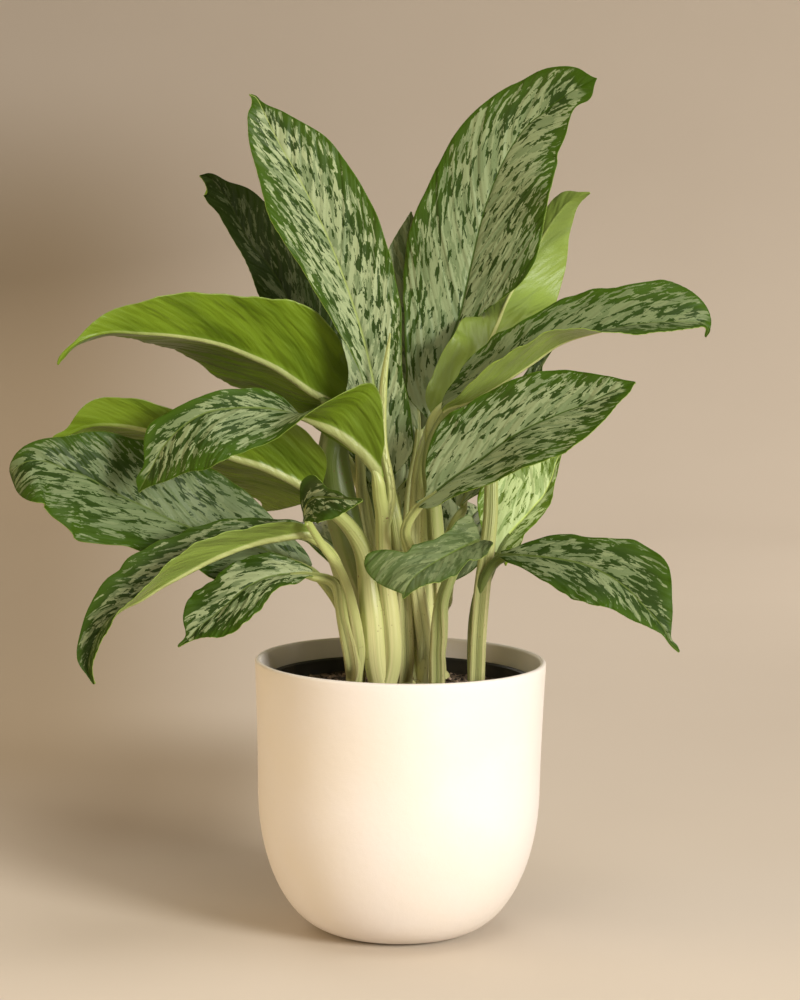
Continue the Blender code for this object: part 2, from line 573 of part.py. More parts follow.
def make_soil(collection, material):
    """Make the soil with a plain hole for each shoot."""
    mesh = turned_mesh("soil", soil_profile(), SOIL_SIDES, collection)
    item = add_object("soil", mesh, collection, material)
    outward(item)
    for vertex in item.data.vertices:
        radius = np.hypot(vertex.co.x, vertex.co.y)
        if vertex.co.z > SOIL_EDGE_HEIGHT + NEAR and radius > NEAR:
            turn = np.arctan2(vertex.co.y, vertex.co.x)
            vertex.co.z += SOIL_BUMP * np.sin(SOIL_BUMPS_ROUND * turn + SOIL_BUMP_TWIST * radius)
    cutters = new_cutters("hole_cutters")
    for name, shoot in SHOOTS.items():
        upright_cylinder(f"hole_{name}", shoot.radius * MM + GAP, (shoot.x * MM, shoot.y * MM),
                         shoot_hole_floor(shoot), SOIL_MIDDLE_HEIGHT + FOOT_ABOVE_SOIL, HOLE_SIDES, cutters)
    cut_with(item, cutters)
    drop_collection(cutters)
    return item


def smooth_curve(points):
    """Return close points on a Catmull-Rom curve through the given ones, FINE_STEPS for each span."""
    path = np.asarray(points, float)
    knots = np.concatenate([[0.0], np.cumsum(np.sqrt(np.linalg.norm(np.diff(path, axis=0), axis=1)))])
    path = np.vstack([2 * path[0] - path[1], path, 2 * path[-1] - path[-2]])
    knots = np.concatenate([[2 * knots[0] - knots[1]], knots, [2 * knots[-1] - knots[-2]]])
    pieces = []
    for index in range(1, len(path) - 2):
        p0, p1, p2, p3 = path[index - 1:index + 3]
        t0, t1, t2, t3 = knots[index - 1:index + 3]
        t = np.linspace(t1, t2, FINE_STEPS, endpoint=False)[:, None]
        a1 = (t1 - t) / (t1 - t0) * p0 + (t - t0) / (t1 - t0) * p1
        a2 = (t2 - t) / (t2 - t1) * p1 + (t - t1) / (t2 - t1) * p2
        a3 = (t3 - t) / (t3 - t2) * p2 + (t - t2) / (t3 - t2) * p3
        b1 = (t2 - t) / (t2 - t0) * a1 + (t - t0) / (t2 - t0) * a2
        b2 = (t3 - t) / (t3 - t1) * a2 + (t - t1) / (t3 - t1) * a3
        pieces.append((t2 - t) / (t2 - t1) * b1 + (t - t1) / (t2 - t1) * b2)
    return np.vstack(pieces + [path[-2:-1]])


def along(curve, shares):
    """Return the points at the given shares of the length of a curve of close points."""
    lengths = np.concatenate([[0.0], np.cumsum(np.linalg.norm(np.diff(curve, axis=0), axis=1))])
    places = np.asarray(shares) * lengths[-1]
    return np.stack([np.interp(places, lengths, curve[:, axis]) for axis in range(3)], axis=1)


def unit(vectors):
    """Return vectors scaled to length one."""
    return vectors / np.maximum(np.linalg.norm(vectors, axis=-1, keepdims=True), TINY)


def read_table(places, values, shares):
    """Read a table smoothly at the given shares, with a cubic curve through all its values."""
    places = np.asarray(places, float)
    table = np.asarray(values, float).reshape(len(places), -1)
    steps = np.diff(places)[:, None]
    slopes = np.diff(table, axis=0) / steps
    inner = (slopes[:-1] * steps[1:] + slopes[1:] * steps[:-1]) / (steps[:-1] + steps[1:])
    lean = np.vstack([slopes[:1], inner, slopes[-1:]])
    shares = np.clip(shares, 0.0, 1.0)
    span = np.clip(np.searchsorted(places, shares, side="right") - 1, 0, len(steps) - 1)
    step = steps[span]
    part = ((shares - places[span]) / step[:, 0])[:, None]
    rest = 1.0 - part
    result = (1.0 + 2.0 * part) * rest ** 2 * table[span] + part * rest ** 2 * step * lean[span]
    result += part ** 2 * (1.0 + 2.0 * rest) * table[span + 1] - part ** 2 * rest * step * lean[span + 1]
    return result[:, 0] if np.ndim(values) == 1 else result


def spread(values, shares):
    """Read a list given at even places along the leaf at the given shares of its length."""
    table = list(values) * 2 if len(values) == 1 else values
    return read_table(np.linspace(0.0, 1.0, len(table)), table, shares)


def stalk_foot(leaf):
    """Return where a leaf's stalk starts, inside the foot of its shoot."""
    shoot = SHOOTS[leaf.shoot]
    lean = np.array([leaf.petiole[0][0] - shoot.x, leaf.petiole[0][1] - shoot.y], float)
    room = max(shoot.radius - leaf.petiole_radius[0] - STALK_INSET, 0.0)
    lean = lean * min(room / max(np.linalg.norm(lean), TINY), 1.0)
    ground = float(soil_height(np.hypot(shoot.x, shoot.y) * MM)) / MM
    return (shoot.x + lean[0], shoot.y + lean[1], ground + STALK_RISE)


def leaf_curves(leaf):
    """Return the stalk's and the blade's curves, cut from one smooth curve through the whole leaf."""
    points = np.array([stalk_foot(leaf), *leaf.petiole, *leaf.midrib], float) * MM
    curve = smooth_curve(points)
    base = (len(leaf.petiole) + 1) * FINE_STEPS
    return curve[:base + 1], curve[base:]


def row_shares(steps):
    """Return where the rows of a blade's grid lie, closer together near the base and the tip."""
    even = np.linspace(0.0, 1.0, steps + 1)
    eased = 0.5 - 0.5 * np.cos(np.pi * even)
    return ROW_EASING * eased + (1.0 - ROW_EASING) * even


def blade_points(leaf, length_steps, half_steps):
    """Return the grid of points of a blade's upper face, with rows along the midrib.

    Each half rises from the midrib by its fold, bends on by its curl, and its edge waves.
    """
    shares = row_shares(length_steps)
    curve = leaf_curves(leaf)[1]
    path = along(curve, shares)
    ahead = unit(along(curve, shares + LOOK_AHEAD) - along(curve, shares - LOOK_AHEAD))
    path[0] += ahead[0] * BLADE_GAP
    facing = spread(leaf.facing, shares)
    above = unit(facing - (facing * ahead).sum(axis=1, keepdims=True) * ahead)
    sideways = np.cross(ahead, above)
    height, count, phase = leaf.wave
    grid = np.zeros((length_steps + 1, 2 * half_steps + 1, 3))
    halves = ((-1, leaf.left_width, leaf.left_fold, leaf.left_curl, phase),
              (1, leaf.right_width, leaf.right_fold, leaf.right_curl, phase + RIPPLE_SHIFT))
    for side, widths, fold, curl, start in halves:
        half = np.maximum(read_table(WIDTH_PLACES, widths, shares) * MM, SLIMMEST_HALF_WIDTH)
        ripple = height * MM * np.sin(2.0 * np.pi * (count * shares + start)) * half / (max(widths) * MM)
        out = np.zeros(length_steps + 1)
        rise = np.zeros(length_steps + 1)
        for step in range(half_steps + 1):
            if step > 0:
                angle = np.radians(spread(fold, shares) + curl * (step - 0.5) / half_steps)
                out = out + np.cos(angle) / half_steps
                rise = rise + np.sin(angle) / half_steps
            wave = ripple * (step / half_steps) ** 2
            grid[:, half_steps + side * step] = (path + (side * out * half)[:, None] * sideways
                                                 + (rise * half + wave)[:, None] * above)
    return grid


def make_blade(name, leaf, collection, material):
    """Make one leaf blade: a shaped grid, thickened on its underside and most along the midrib."""
    columns = 2 * LEAF_HALF_STEPS + 1
    rows = LEAF_LENGTH_STEPS + 1
    points = blade_points(leaf, LEAF_LENGTH_STEPS, LEAF_HALF_STEPS)
    base = points[0, LEAF_HALF_STEPS].copy()
    mesh = bpy.data.meshes.new(name)
    body = bmesh.new()
    bmesh.ops.create_grid(body, x_segments=columns - 1, y_segments=rows - 1, size=0.5)
    body.verts.ensure_lookup_table()
    columns_of = [round((vertex.co.x + 0.5) * (columns - 1)) for vertex in body.verts]
    rows_of = [round((vertex.co.y + 0.5) * (rows - 1)) for vertex in body.verts]
    for vertex, column, row in zip(body.verts, columns_of, rows_of):
        vertex.co = points[row, column] - base
    bmesh.ops.triangulate(body, faces=body.faces)
    body.to_mesh(mesh)
    body.free()
    item = add_object(name, mesh, collection, material)
    item.location = base
    thickness = item.vertex_groups.new(name="thickness")
    for index, (column, row) in enumerate(zip(columns_of, rows_of)):
        middle = 1.0 if column == LEAF_HALF_STEPS else 0.0
        weight = middle * (1.0 - row / (rows - 1))
        thickness.add([index], weight, "REPLACE")
    shell = item.modifiers.new("thickness", "SOLIDIFY")
    shell.thickness = MIDRIB_THICKNESS
    shell.offset = -1.0
    shell.vertex_group = "thickness"
    shell.thickness_vertex_group = BLADE_THICKNESS / MIDRIB_THICKNESS
    item.data.shade_smooth()
    return item


def tube_mesh(name, path, radii, collection):
    """Make a closed tube along a path, with a radius at each of its points."""
    curve = bpy.data.curves.new(name, "CURVE")
    curve.dimensions = "3D"
    curve.bevel_depth = 1.0
    curve.bevel_resolution = TUBE_ROUNDNESS
    curve.use_fill_caps = True
    line = curve.splines.new("POLY")
    line.points.add(len(path) - 1)
    for point, place, radius in zip(line.points, path, radii):
        point.co = (*place, 1.0)
        point.radius = radius
    curve_item = bpy.data.objects.new(name, curve)
    collection.objects.link(curve_item)
    mesh = evaluated_mesh(curve_item)
    bpy.data.objects.remove(curve_item, do_unlink=True)
    item = add_object(name, mesh, collection, None)
    outward(item)
    return item


def make_shoot(name, shoot, collection, material):
    """Make one shoot: its foot in the soil and its leaf stalks, joined in one body."""
    ground = float(soil_height(np.hypot(shoot.x, shoot.y) * MM))
    place = (shoot.x * MM, shoot.y * MM)
    foot = upright_cylinder(name, shoot.radius * MM, place, shoot_hole_floor(shoot) + GAP,
                            ground + FOOT_ABOVE_SOIL, HOLE_SIDES, collection)
    stalks = new_cutters(f"{name}_stalks")
    steps = np.sin(np.linspace(0.0, np.pi / 2.0, PETIOLE_STEPS + 1))
    for leaf_name, leaf in LEAVES.items():
        if leaf.shoot == name:
            path = along(leaf_curves(leaf)[0], steps)
            radii = spread(leaf.petiole_radius, steps) * MM
            tube_mesh(f"stalk_{leaf_name}", path, radii, stalks)
    if name == ROLLED_LEAF_SHOOT:
        path = along(smooth_curve(np.array(ROLLED_LEAF, float) * MM), steps)
        radii = spread(ROLLED_LEAF_RADIUS, steps) * MM
        tube_mesh("rolled_leaf", path, radii, stalks)
    join = foot.modifiers.new("join", "BOOLEAN")
    join.operation = "UNION"
    join.solver = "EXACT"
    join.operand_type = "COLLECTION"
    join.collection = stalks
    foot.data = evaluated_mesh(foot)
    foot.modifiers.clear()
    drop_collection(stalks)
    foot.data.materials.clear()
    foot.data.materials.append(material)
    smooth_mesh(foot)
    return foot


def main():
    """Build the whole potted plant."""
    clear_scene()
    collection = bpy.data.collections.new(OBJECT_NAME)
    bpy.context.scene.collection.children.link(collection)
    glaze = make_material("cream_glaze", (0.80, 0.72, 0.58), 0.45)
    plastic = make_material("black_plastic", (0.02, 0.02, 0.02), 0.50)
    earth = make_material("dark_soil", (0.06, 0.045, 0.035), 0.95)
    stalk = make_material("pale_stalk", (0.50, 0.56, 0.28), 0.45)
    foliage = make_material("mottled_leaf", (0.22, 0.30, 0.15), 0.40)
    make_cachepot(collection, glaze)
    make_nursery_pot(collection, plastic)
    make_soil(collection, earth)
    for name, shoot in SHOOTS.items():
        make_shoot(name, shoot, collection, stalk)
    for name, leaf in LEAVES.items():
        make_blade(name, leaf, collection, foliage)


if __name__ == "__main__":
    main()
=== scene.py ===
"""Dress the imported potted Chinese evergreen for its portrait.

Finer leaves, stalks, soil and pots take the place of the plain solids. Each has its own procedural
finish, and all stand on a pale floor in soft studio light. Lengths are in metres with +Z up, the
origin under the middle of the cachepot's foot and the viewer towards -Y. The sizes of leaves and
shoots are in millimetres, as in the solid model.
"""

from __future__ import annotations

import logging
import math
from collections.abc import Iterable
from dataclasses import dataclass
from enum import Enum

import bmesh
import bpy
import numpy as np
from mathutils import Matrix, Vector, noise


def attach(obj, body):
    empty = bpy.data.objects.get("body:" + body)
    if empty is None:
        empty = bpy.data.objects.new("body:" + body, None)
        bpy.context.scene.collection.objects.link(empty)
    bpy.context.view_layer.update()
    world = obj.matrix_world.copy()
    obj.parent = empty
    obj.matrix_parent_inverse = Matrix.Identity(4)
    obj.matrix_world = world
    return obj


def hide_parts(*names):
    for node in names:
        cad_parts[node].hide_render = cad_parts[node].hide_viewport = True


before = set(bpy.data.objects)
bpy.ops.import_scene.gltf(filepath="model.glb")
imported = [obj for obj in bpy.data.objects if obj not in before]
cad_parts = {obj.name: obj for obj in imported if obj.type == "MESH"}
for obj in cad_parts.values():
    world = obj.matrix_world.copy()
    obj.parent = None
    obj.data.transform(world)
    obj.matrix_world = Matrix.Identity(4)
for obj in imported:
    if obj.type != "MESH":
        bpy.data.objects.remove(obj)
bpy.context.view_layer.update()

LOG = logging.getLogger("potted_plant")
BODY = "root"
MM = 0.001
GAP = 0.0003
TINY = 1e-9
WELD = 0.00001
FINE_WELD = 0.000002
CURVE_STEPS = 24

Colour = tuple[float, float, float]
Place = tuple[float, float, float]
Span = tuple[float, float]
Table = tuple[float, ...]
Mesh = bmesh.types.BMesh
Finish = bpy.types.Material
Piece = bpy.types.Object
Socket = bpy.types.NodeSocket


class Slot(Enum):
    """The record's material slots, one for each kind of finish."""

    GLAZE = "cream_glaze"
    PLASTIC = "black_plastic"
    SOIL = "dark_soil"
    STALK = "pale_stalk"
    LEAF = "mottled_leaf"


# Curves and tables shared by leaves and stalks


def smooth_curve(points: np.ndarray) -> np.ndarray:
    """Run a smooth curve through a row of points.

    Args:
        points: The points, one in a row.

    Returns:
        Close points on a Catmull-Rom curve, CURVE_STEPS to a span.
    """
    path = np.asarray(points, float)
    spans = np.sqrt(np.linalg.norm(np.diff(path, axis=0), axis=1))
    knots = np.concatenate([[0.0], np.cumsum(spans)])
    path = np.vstack([2 * path[0] - path[1], path, 2 * path[-1] - path[-2]])
    knots = np.concatenate([[2 * knots[0] - knots[1]], knots, [2 * knots[-1] - knots[-2]]])
    pieces = []
    for index in range(1, len(path) - 2):
        p0, p1, p2, p3 = path[index - 1:index + 3]
        t0, t1, t2, t3 = knots[index - 1:index + 3]
        t = np.linspace(t1, t2, CURVE_STEPS, endpoint=False)[:, None]
        a1 = (t1 - t) / (t1 - t0) * p0 + (t - t0) / (t1 - t0) * p1
        a2 = (t2 - t) / (t2 - t1) * p1 + (t - t1) / (t2 - t1) * p2
        a3 = (t3 - t) / (t3 - t2) * p2 + (t - t2) / (t3 - t2) * p3
        b1 = (t2 - t) / (t2 - t0) * a1 + (t - t0) / (t2 - t0) * a2
        b2 = (t3 - t) / (t3 - t1) * a2 + (t - t1) / (t3 - t1) * a3
        pieces.append((t2 - t) / (t2 - t1) * b1 + (t - t1) / (t2 - t1) * b2)
    return np.vstack(pieces + [path[-2:-1]])


def lengths_along(curve: np.ndarray) -> np.ndarray:
    """Return how far along the curve each of its points lies."""
    return np.concatenate([[0.0], np.cumsum(np.linalg.norm(np.diff(curve, axis=0), axis=1))])


def along(curve: np.ndarray, shares: np.ndarray) -> np.ndarray:
    """Find places along a curve.

    Args:
        curve: Points on the curve, one in a row.
        shares: How far along it the places lie, in shares of its length.

    Returns:
        The places, one in a row.
    """
    lengths = lengths_along(curve)
    places = np.asarray(shares) * lengths[-1]
    return np.stack([np.interp(places, lengths, curve[:, axis]) for axis in range(3)], axis=1)


def unit(vectors: np.ndarray) -> np.ndarray:
    """Return vectors scaled to length one."""
    return vectors / np.maximum(np.linalg.norm(vectors, axis=-1, keepdims=True), TINY)


def square_to(ahead: np.ndarray, vectors: np.ndarray) -> np.ndarray:
    """Return vectors turned square to the way ahead at each row, at length one."""
    return unit(vectors - (vectors * ahead).sum(axis=1, keepdims=True) * ahead)


def read_table(places: Table, values: object, shares: np.ndarray) -> np.ndarray:
    """Read a table smoothly, with a cubic curve through all its values.

    Args:
        places: The shares of the length that the values stand at.
        values: A number or a vector for each place.
        shares: The shares of the length to read it at.

    Returns:
        One number or vector for each share.
    """
    marks = np.asarray(places, float)
    table = np.asarray(values, float).reshape(len(marks), -1)
    steps = np.diff(marks)[:, None]
    slopes = np.diff(table, axis=0) / steps
    inner = (slopes[:-1] * steps[1:] + slopes[1:] * steps[:-1]) / (steps[:-1] + steps[1:])
    lean = np.vstack([slopes[:1], inner, slopes[-1:]])
    shares = np.clip(shares, 0.0, 1.0)
    span = np.clip(np.searchsorted(marks, shares, side="right") - 1, 0, len(steps) - 1)
    step = steps[span]
    part = ((shares - marks[span]) / step[:, 0])[:, None]
    rest = 1.0 - part
    result = (1.0 + 2.0 * part) * rest ** 2 * table[span] + part * rest ** 2 * step * lean[span]
    after = part ** 2 * (1.0 + 2.0 * rest) * table[span + 1]
    result += after - part ** 2 * rest * step * lean[span + 1]
    return result[:, 0] if np.ndim(values) == 1 else result


def spread(values: object, shares: np.ndarray) -> np.ndarray:
    """Read a list given at even places along the leaf at the given shares of its length."""
    table = list(values) * 2 if len(values) == 1 else values
    return read_table(np.linspace(0.0, 1.0, len(table)), table, shares)


def ease(values: np.ndarray, low: float, high: float) -> np.ndarray:
    """Turn from 0 at low to 1 at high with no corner at either end."""
    share = np.clip((np.asarray(values, float) - low) / (high - low), 0.0, 1.0)
    return share * share * (3.0 - 2.0 * share)


def hump(values: np.ndarray, width: float) -> np.ndarray:
    """Return 1 at a value of 0, falling away softly to both sides within about the width."""
    return np.exp(-(values / width) ** 2)


# Finishes


@dataclass(frozen=True)
class Coat:
    """A colour laid over another.

    Args:
        colour: Its colour, as three numbers or as another node's output.
        reach: The values between which it comes in. Without them the value itself is its share.
        share: How much of it shows at most.
        kind: Blender's name for the way it mixes.
    """

    colour: object
    reach: Span | None = None
    share: float = 1.0
    kind: str = "MIX"


class Recipe:
    """A new material, with short calls for the nodes that a finish is made of."""

    def __init__(self, name: str) -> None:
        """Start a material whose only node is its shader."""
        self.material = bpy.data.materials.new(name)
        self.material.use_nodes = True
        self.tree = self.material.node_tree
        self.shader = self.tree.nodes["Principled BSDF"]

    def feed(self, socket: Socket, source: object) -> None:
        """Give a socket another node's output, a number or a colour."""
        if isinstance(source, bpy.types.NodeSocket):
            self.tree.links.new(source, socket)
        elif isinstance(source, tuple) and socket.type == "RGBA":
            socket.default_value = (*source, 1.0)
        else:
            socket.default_value = source

    def node(self, kind: str, sources: dict, output: object = 0, **settings: object) -> Socket:
        """Add a node.

        Args:
            kind: Blender's name for the kind of shader node.
            sources: What each of its inputs is given, by name or by number.
            output: Which of its outputs is wanted, by name or by number.
            settings: The node's own settings.

        Returns:
            That output.
        """
        made = self.tree.nodes.new("ShaderNode" + kind)
        for setting, value in settings.items():
            setattr(made, setting, value)
        for place, source in sources.items():
            self.feed(made.inputs[place], source)
        return made.outputs[output]

    def reckon(self, operation: str, *terms: object) -> Socket:
        """Return one step of arithmetic on numbers or outputs."""
        return self.node("Math", dict(enumerate(terms)), operation=operation)

    def total(self, *terms: object) -> Socket:
        """Return the sum of several outputs or numbers."""
        result = terms[0]
        for term in terms[1:]:
            result = self.reckon("ADD", result, term)
        return result

    def times(self, first: object, second: object) -> Socket:
        """Return a product."""
        return self.reckon("MULTIPLY", first, second)

    def less(self, first: object, second: object) -> Socket:
        """Return the first less the second."""
        return self.reckon("SUBTRACT", first, second)

    def rise(self, value: object, low: object, high: object) -> Socket:
        """Return 0 up to low and 1 from high on, eased between; high may be below low."""
        return self.node("MapRange", {"Value": value, "From Min": low, "From Max": high},
                         interpolation_type="SMOOTHSTEP", clamp=True)

    def above(self, value: object, level: object, soft: float) -> Socket:
        """Return 0 up to a level and 1 above it, past a soft step."""
        return self.rise(value, level, self.reckon("ADD", level, soft))

    def scaled(self, value: object, low: float, high: float) -> Socket:
        """Stretch a value between 0 and 1 to lie between low and high."""
        return self.node("MapRange", {"Value": value, "To Min": low, "To Max": high}, clamp=True)

    def blend(self, share: object, first: object, second: object, kind: str = "MIX") -> Socket:
        """Return two colours mixed, where the share says how much of the second one shows."""
        colours = {0: share, 6: first, 7: second}
        return self.node("Mix", colours, 2, data_type="RGBA", blend_type=kind)

    def coats(self, ground: object, *coats: tuple[object, Coat]) -> Socket:
        """Lay coats of colour over a ground, one after another.

        Args:
            ground: The colour beneath.
            coats: For each coat, the value that it comes in with and the coat.

        Returns:
            The colour on top.
        """
        for share, coat in coats:
            if coat.reach:
                share = self.rise(share, *coat.reach)
            if coat.share < 1.0:
                share = self.times(share, coat.share)
            ground = self.blend(share, ground, coat.colour, coat.kind)
        return ground

    def noise(self, place: object, scale: float, detail: float = 2.0, roughness: float = 0.5,
              distortion: float = 0.0) -> Socket:
        """Return soft noise, about 0.5 on average, at a place."""
        return self.node("TexNoise", {"Vector": place, "Scale": scale, "Detail": detail,
                                      "Roughness": roughness, "Distortion": distortion},
                         noise_dimensions="3D")

    def split(self, vector: Socket) -> tuple[Socket, ...]:
        """Return the three numbers of a vector."""
        return tuple(self.node("SeparateXYZ", {0: vector}).node.outputs)

    def own(self, name: str) -> tuple[Socket, ...]:
        """Return the three numbers that a mesh carries under a name."""
        return self.split(self.node("Attribute", {}, "Vector", attribute_name=name))

    def where(self) -> Socket:
        """Return the place on the object, in metres."""
        return self.node("TexCoord", {}, "Object")

    def relief(self, depth: float, *heights: tuple[object, float]) -> None:
        """Give the surface small bumps.

        Args:
            depth: The height of the bumps in metres.
            heights: What they are made of, each a value from 0 to 1 and its share.
        """
        height = self.total(*[value if share == 1.0 else self.times(value, share)
                              for value, share in heights])
        bumps = self.node("Bump", {"Height": height, "Distance": depth, "Strength": 1.0})
        self.feed(self.shader.inputs["Normal"], bumps)

    def surface(self, colour: Socket, roughness: object, specular: float) -> Finish:
        """Finish the shader and return the material.

        Args:
            colour: Its colour.
            roughness: How matt it is, as one number or as a value.
            specular: How strongly it mirrors, where 0.5 is usual.

        Returns:
            The material.
        """
        self.feed(self.shader.inputs["Base Color"], colour)
        self.feed(self.shader.inputs["Roughness"], roughness)
        self.feed(self.shader.inputs["Specular IOR Level"], specular)
        return self.material


@dataclass(frozen=True)
class Grain:
    """Noise stretched along a surface's own two directions.

    Args:
        first: How many times a metre it changes in the first direction.
        second: The same in the second direction.
        detail: How many finer layers it has.
        roughness: How strongly the finer layers show.
        distortion: How far it is pulled about.
        layer: How deep it lies, so that no two grains of a surface are alike.
    """

    first: float
    second: float
    detail: float = 2.0
    roughness: float = 0.5
    distortion: float = 0.0
    layer: float = 0.0

    def place(self, recipe: Recipe, run: tuple[Socket, ...]) -> Socket:
        """Return where in the noise a place lies, from its run: two lengths and a layer."""
        first, second, layer = run
        if self.layer:
            layer = recipe.total(layer, self.layer)
        return recipe.node("CombineXYZ", {0: recipe.times(first, self.first),
                                          1: recipe.times(second, self.second), 2: layer})

    def read(self, recipe: Recipe, run: tuple[Socket, ...]) -> Socket:
        """Return the noise at a place, from its run."""
        place = self.place(recipe, run)
        return recipe.noise(place, 1.0, self.detail, self.roughness, self.distortion)


def vein_run(recipe: Recipe, lean: float = 1.75, bend: float = 9.0,
             apart: float = 3.1) -> tuple[Socket, ...]:
    """Follow a leaf's side veins.

    Args:
        recipe: The material being made.
        lean: How much the side veins lean forward.
        bend: How much more they do further out.
        apart: How far the layers of the leaf's two halves lie from each other.

    Returns:
        Where the side vein of a place starts, how far off the midrib the place is, and its layer.
    """
    across, length, seed = recipe.own("leaf_place")
    away = recipe.reckon("ABSOLUTE", across)
    forward = recipe.total(recipe.times(away, lean), recipe.times(recipe.times(away, away), bend))
    layer = recipe.total(recipe.times(recipe.reckon("SIGN", across), apart), seed)
    return recipe.less(length, forward), away, layer


@dataclass(frozen=True)
class LeafUpperFinish:
    """The upper face of a leaf: silver green with broken dark flecks along its side veins.

    A mark shows where its grain passes its level, past a soft step. The crowd lowers the levels
    where the marks are close together.
    """

    silver: Colour = (0.405, 0.465, 0.255)
    fleck: Colour = (0.016, 0.040, 0.002)
    margin: Colour = (0.034, 0.078, 0.001)
    pale_rib: Colour = (0.420, 0.500, 0.160)
    grey: Coat = Coat((0.150, 0.205, 0.092))
    sage: Coat = Coat((0.150, 0.205, 0.092), share=0.80)
    olive: Coat = Coat((0.300, 0.310, 0.110), share=0.6, kind="MULTIPLY")
    rim: Coat = Coat((0.110, 0.180, 0.020), (0.986, 0.993), 0.6)
    deep: Coat = Coat((0.022, 0.036, 0.006))
    # Painted light: a yellow-green glow added as if light shone through the leaf.
    painted_glow: Coat = Coat((0.075, 0.115, 0.004), kind="ADD")
    fleck_grain: Grain = Grain(112.0, 240.0, 4.0, 0.60, 0.35)
    stroke_grain: Grain = Grain(205.0, 190.0, 4.0, 0.60, 0.20, 5.0)
    patch_grain: Grain = Grain(24.0, 42.0, layer=8.0)
    sage_grain: Grain = Grain(80.0, 110.0, 5.0, 0.62, 0.35, 11.0)
    streak_grain: Grain = Grain(270.0, 20.0)
    margin_grain: Grain = Grain(110.0, 60.0, 4.0, 0.65, layer=2.0)
    ridge_grain: Grain = Grain(105.0, 10.0, 1.0)
    edge_power: float = 2.2
    edge_crowd: float = 0.125
    tip_crowd: float = 0.060
    tip_reach: Span = (0.25, 1.0)
    base_crowd: float = -0.050
    base_reach: Span = (0.40, 0.0)
    patch_crowd: Span = (-0.100, 0.085)
    cover_crowd: float = 0.130
    fleck_level: float = 0.625
    stroke_level: float = 0.700
    stroke_crowding: float = 0.6
    sage_level: float = 0.535
    sage_crowding: float = 0.30
    margin_level: float = 1.11
    margin_at_tip: float = 0.9
    raggedness: float = 0.30
    point_raggedness: float = 0.05
    point_reach: Span = (0.965, 0.985)
    green_at_tip: float = 5.0
    green_reach: Span = (0.55, 1.1)
    rib_reach: Span = (0.34, 0.22)
    rib_share: float = 0.85
    streaks: Span = (0.0, 0.36)
    roughness: Span = (0.34, 0.48)

    def material(self, name: str) -> Finish:
        """Return the material under the given name."""
        recipe = Recipe(name)
        edge, share, dark = recipe.own("leaf_share")
        cover, warm, bold = recipe.own("leaf_tone")
        rib_place, rib_tone, grey = recipe.own("leaf_rib")
        glow, _, _ = recipe.own("leaf_glow")
        run = vein_run(recipe)

        # Dark flecks and finer strokes lie along the side veins, thickest towards margin and tip
        flecks = self.fleck_grain.read(recipe, run)
        tip = recipe.times(recipe.rise(share, *self.tip_reach), self.tip_crowd)
        crowd = recipe.total(
            recipe.times(recipe.reckon("POWER", edge, self.edge_power), self.edge_crowd), tip,
            recipe.times(recipe.rise(share, *self.base_reach), self.base_crowd),
            recipe.scaled(self.patch_grain.read(recipe, run), *self.patch_crowd),
            recipe.times(cover, self.cover_crowd))
        level = recipe.less(self.fleck_level, crowd)
        thin_level = recipe.less(self.stroke_level, recipe.times(crowd, self.stroke_crowding))
        stroke = recipe.above(self.stroke_grain.read(recipe, run), thin_level, soft=0.02)
        fleck = recipe.reckon("MAXIMUM", recipe.above(flecks, level, soft=0.010), stroke)

        # Softer sage patches and streaks lie between the flecks
        sage_level = recipe.less(self.sage_level, recipe.times(crowd, self.sage_crowding))
        sage = recipe.above(self.sage_grain.read(recipe, run), sage_level, soft=0.016)
        streak = recipe.scaled(self.streak_grain.read(recipe, run), *self.streaks)

        # The margin is solid green with a ragged inner side, and so is the point of the tip
        wobble = self.margin_grain.read(recipe, run)
        inset = recipe.total(recipe.times(wobble, self.raggedness),
                             recipe.times(tip, self.margin_at_tip))
        band = recipe.above(edge, recipe.less(self.margin_level, inset), soft=0.012)
        tip_place = recipe.total(share, recipe.times(wobble, self.point_raggedness))
        solid = recipe.reckon("MAXIMUM", band, recipe.rise(tip_place, *self.point_reach))

        outwards = recipe.rise(recipe.total(edge, recipe.times(tip, self.green_at_tip)),
                               *self.green_reach)
        rib = Coat(recipe.blend(rib_tone, self.margin, self.pale_rib),
                   self.rib_reach, self.rib_share)
        # The dark value of each half lays painted shade through the deep coat.
        colour = recipe.coats(
            self.silver, (grey, self.grey), (sage, self.sage), (streak, self.grey),
            (warm, self.olive),
            (recipe.times(fleck, bold), Coat(recipe.blend(outwards, self.fleck, self.margin))),
            (recipe.times(solid, bold), Coat(self.margin)),
            (edge, self.rim), (rib_place, rib), (dark, self.deep), (glow, self.painted_glow))
        skin = recipe.noise(recipe.where(), scale=900.0)
        recipe.relief(0.0026, (self.ridge_grain.read(recipe, run), 0.95), (skin, 0.05))
        return recipe.surface(colour, recipe.scaled(flecks, *self.roughness), specular=0.11)


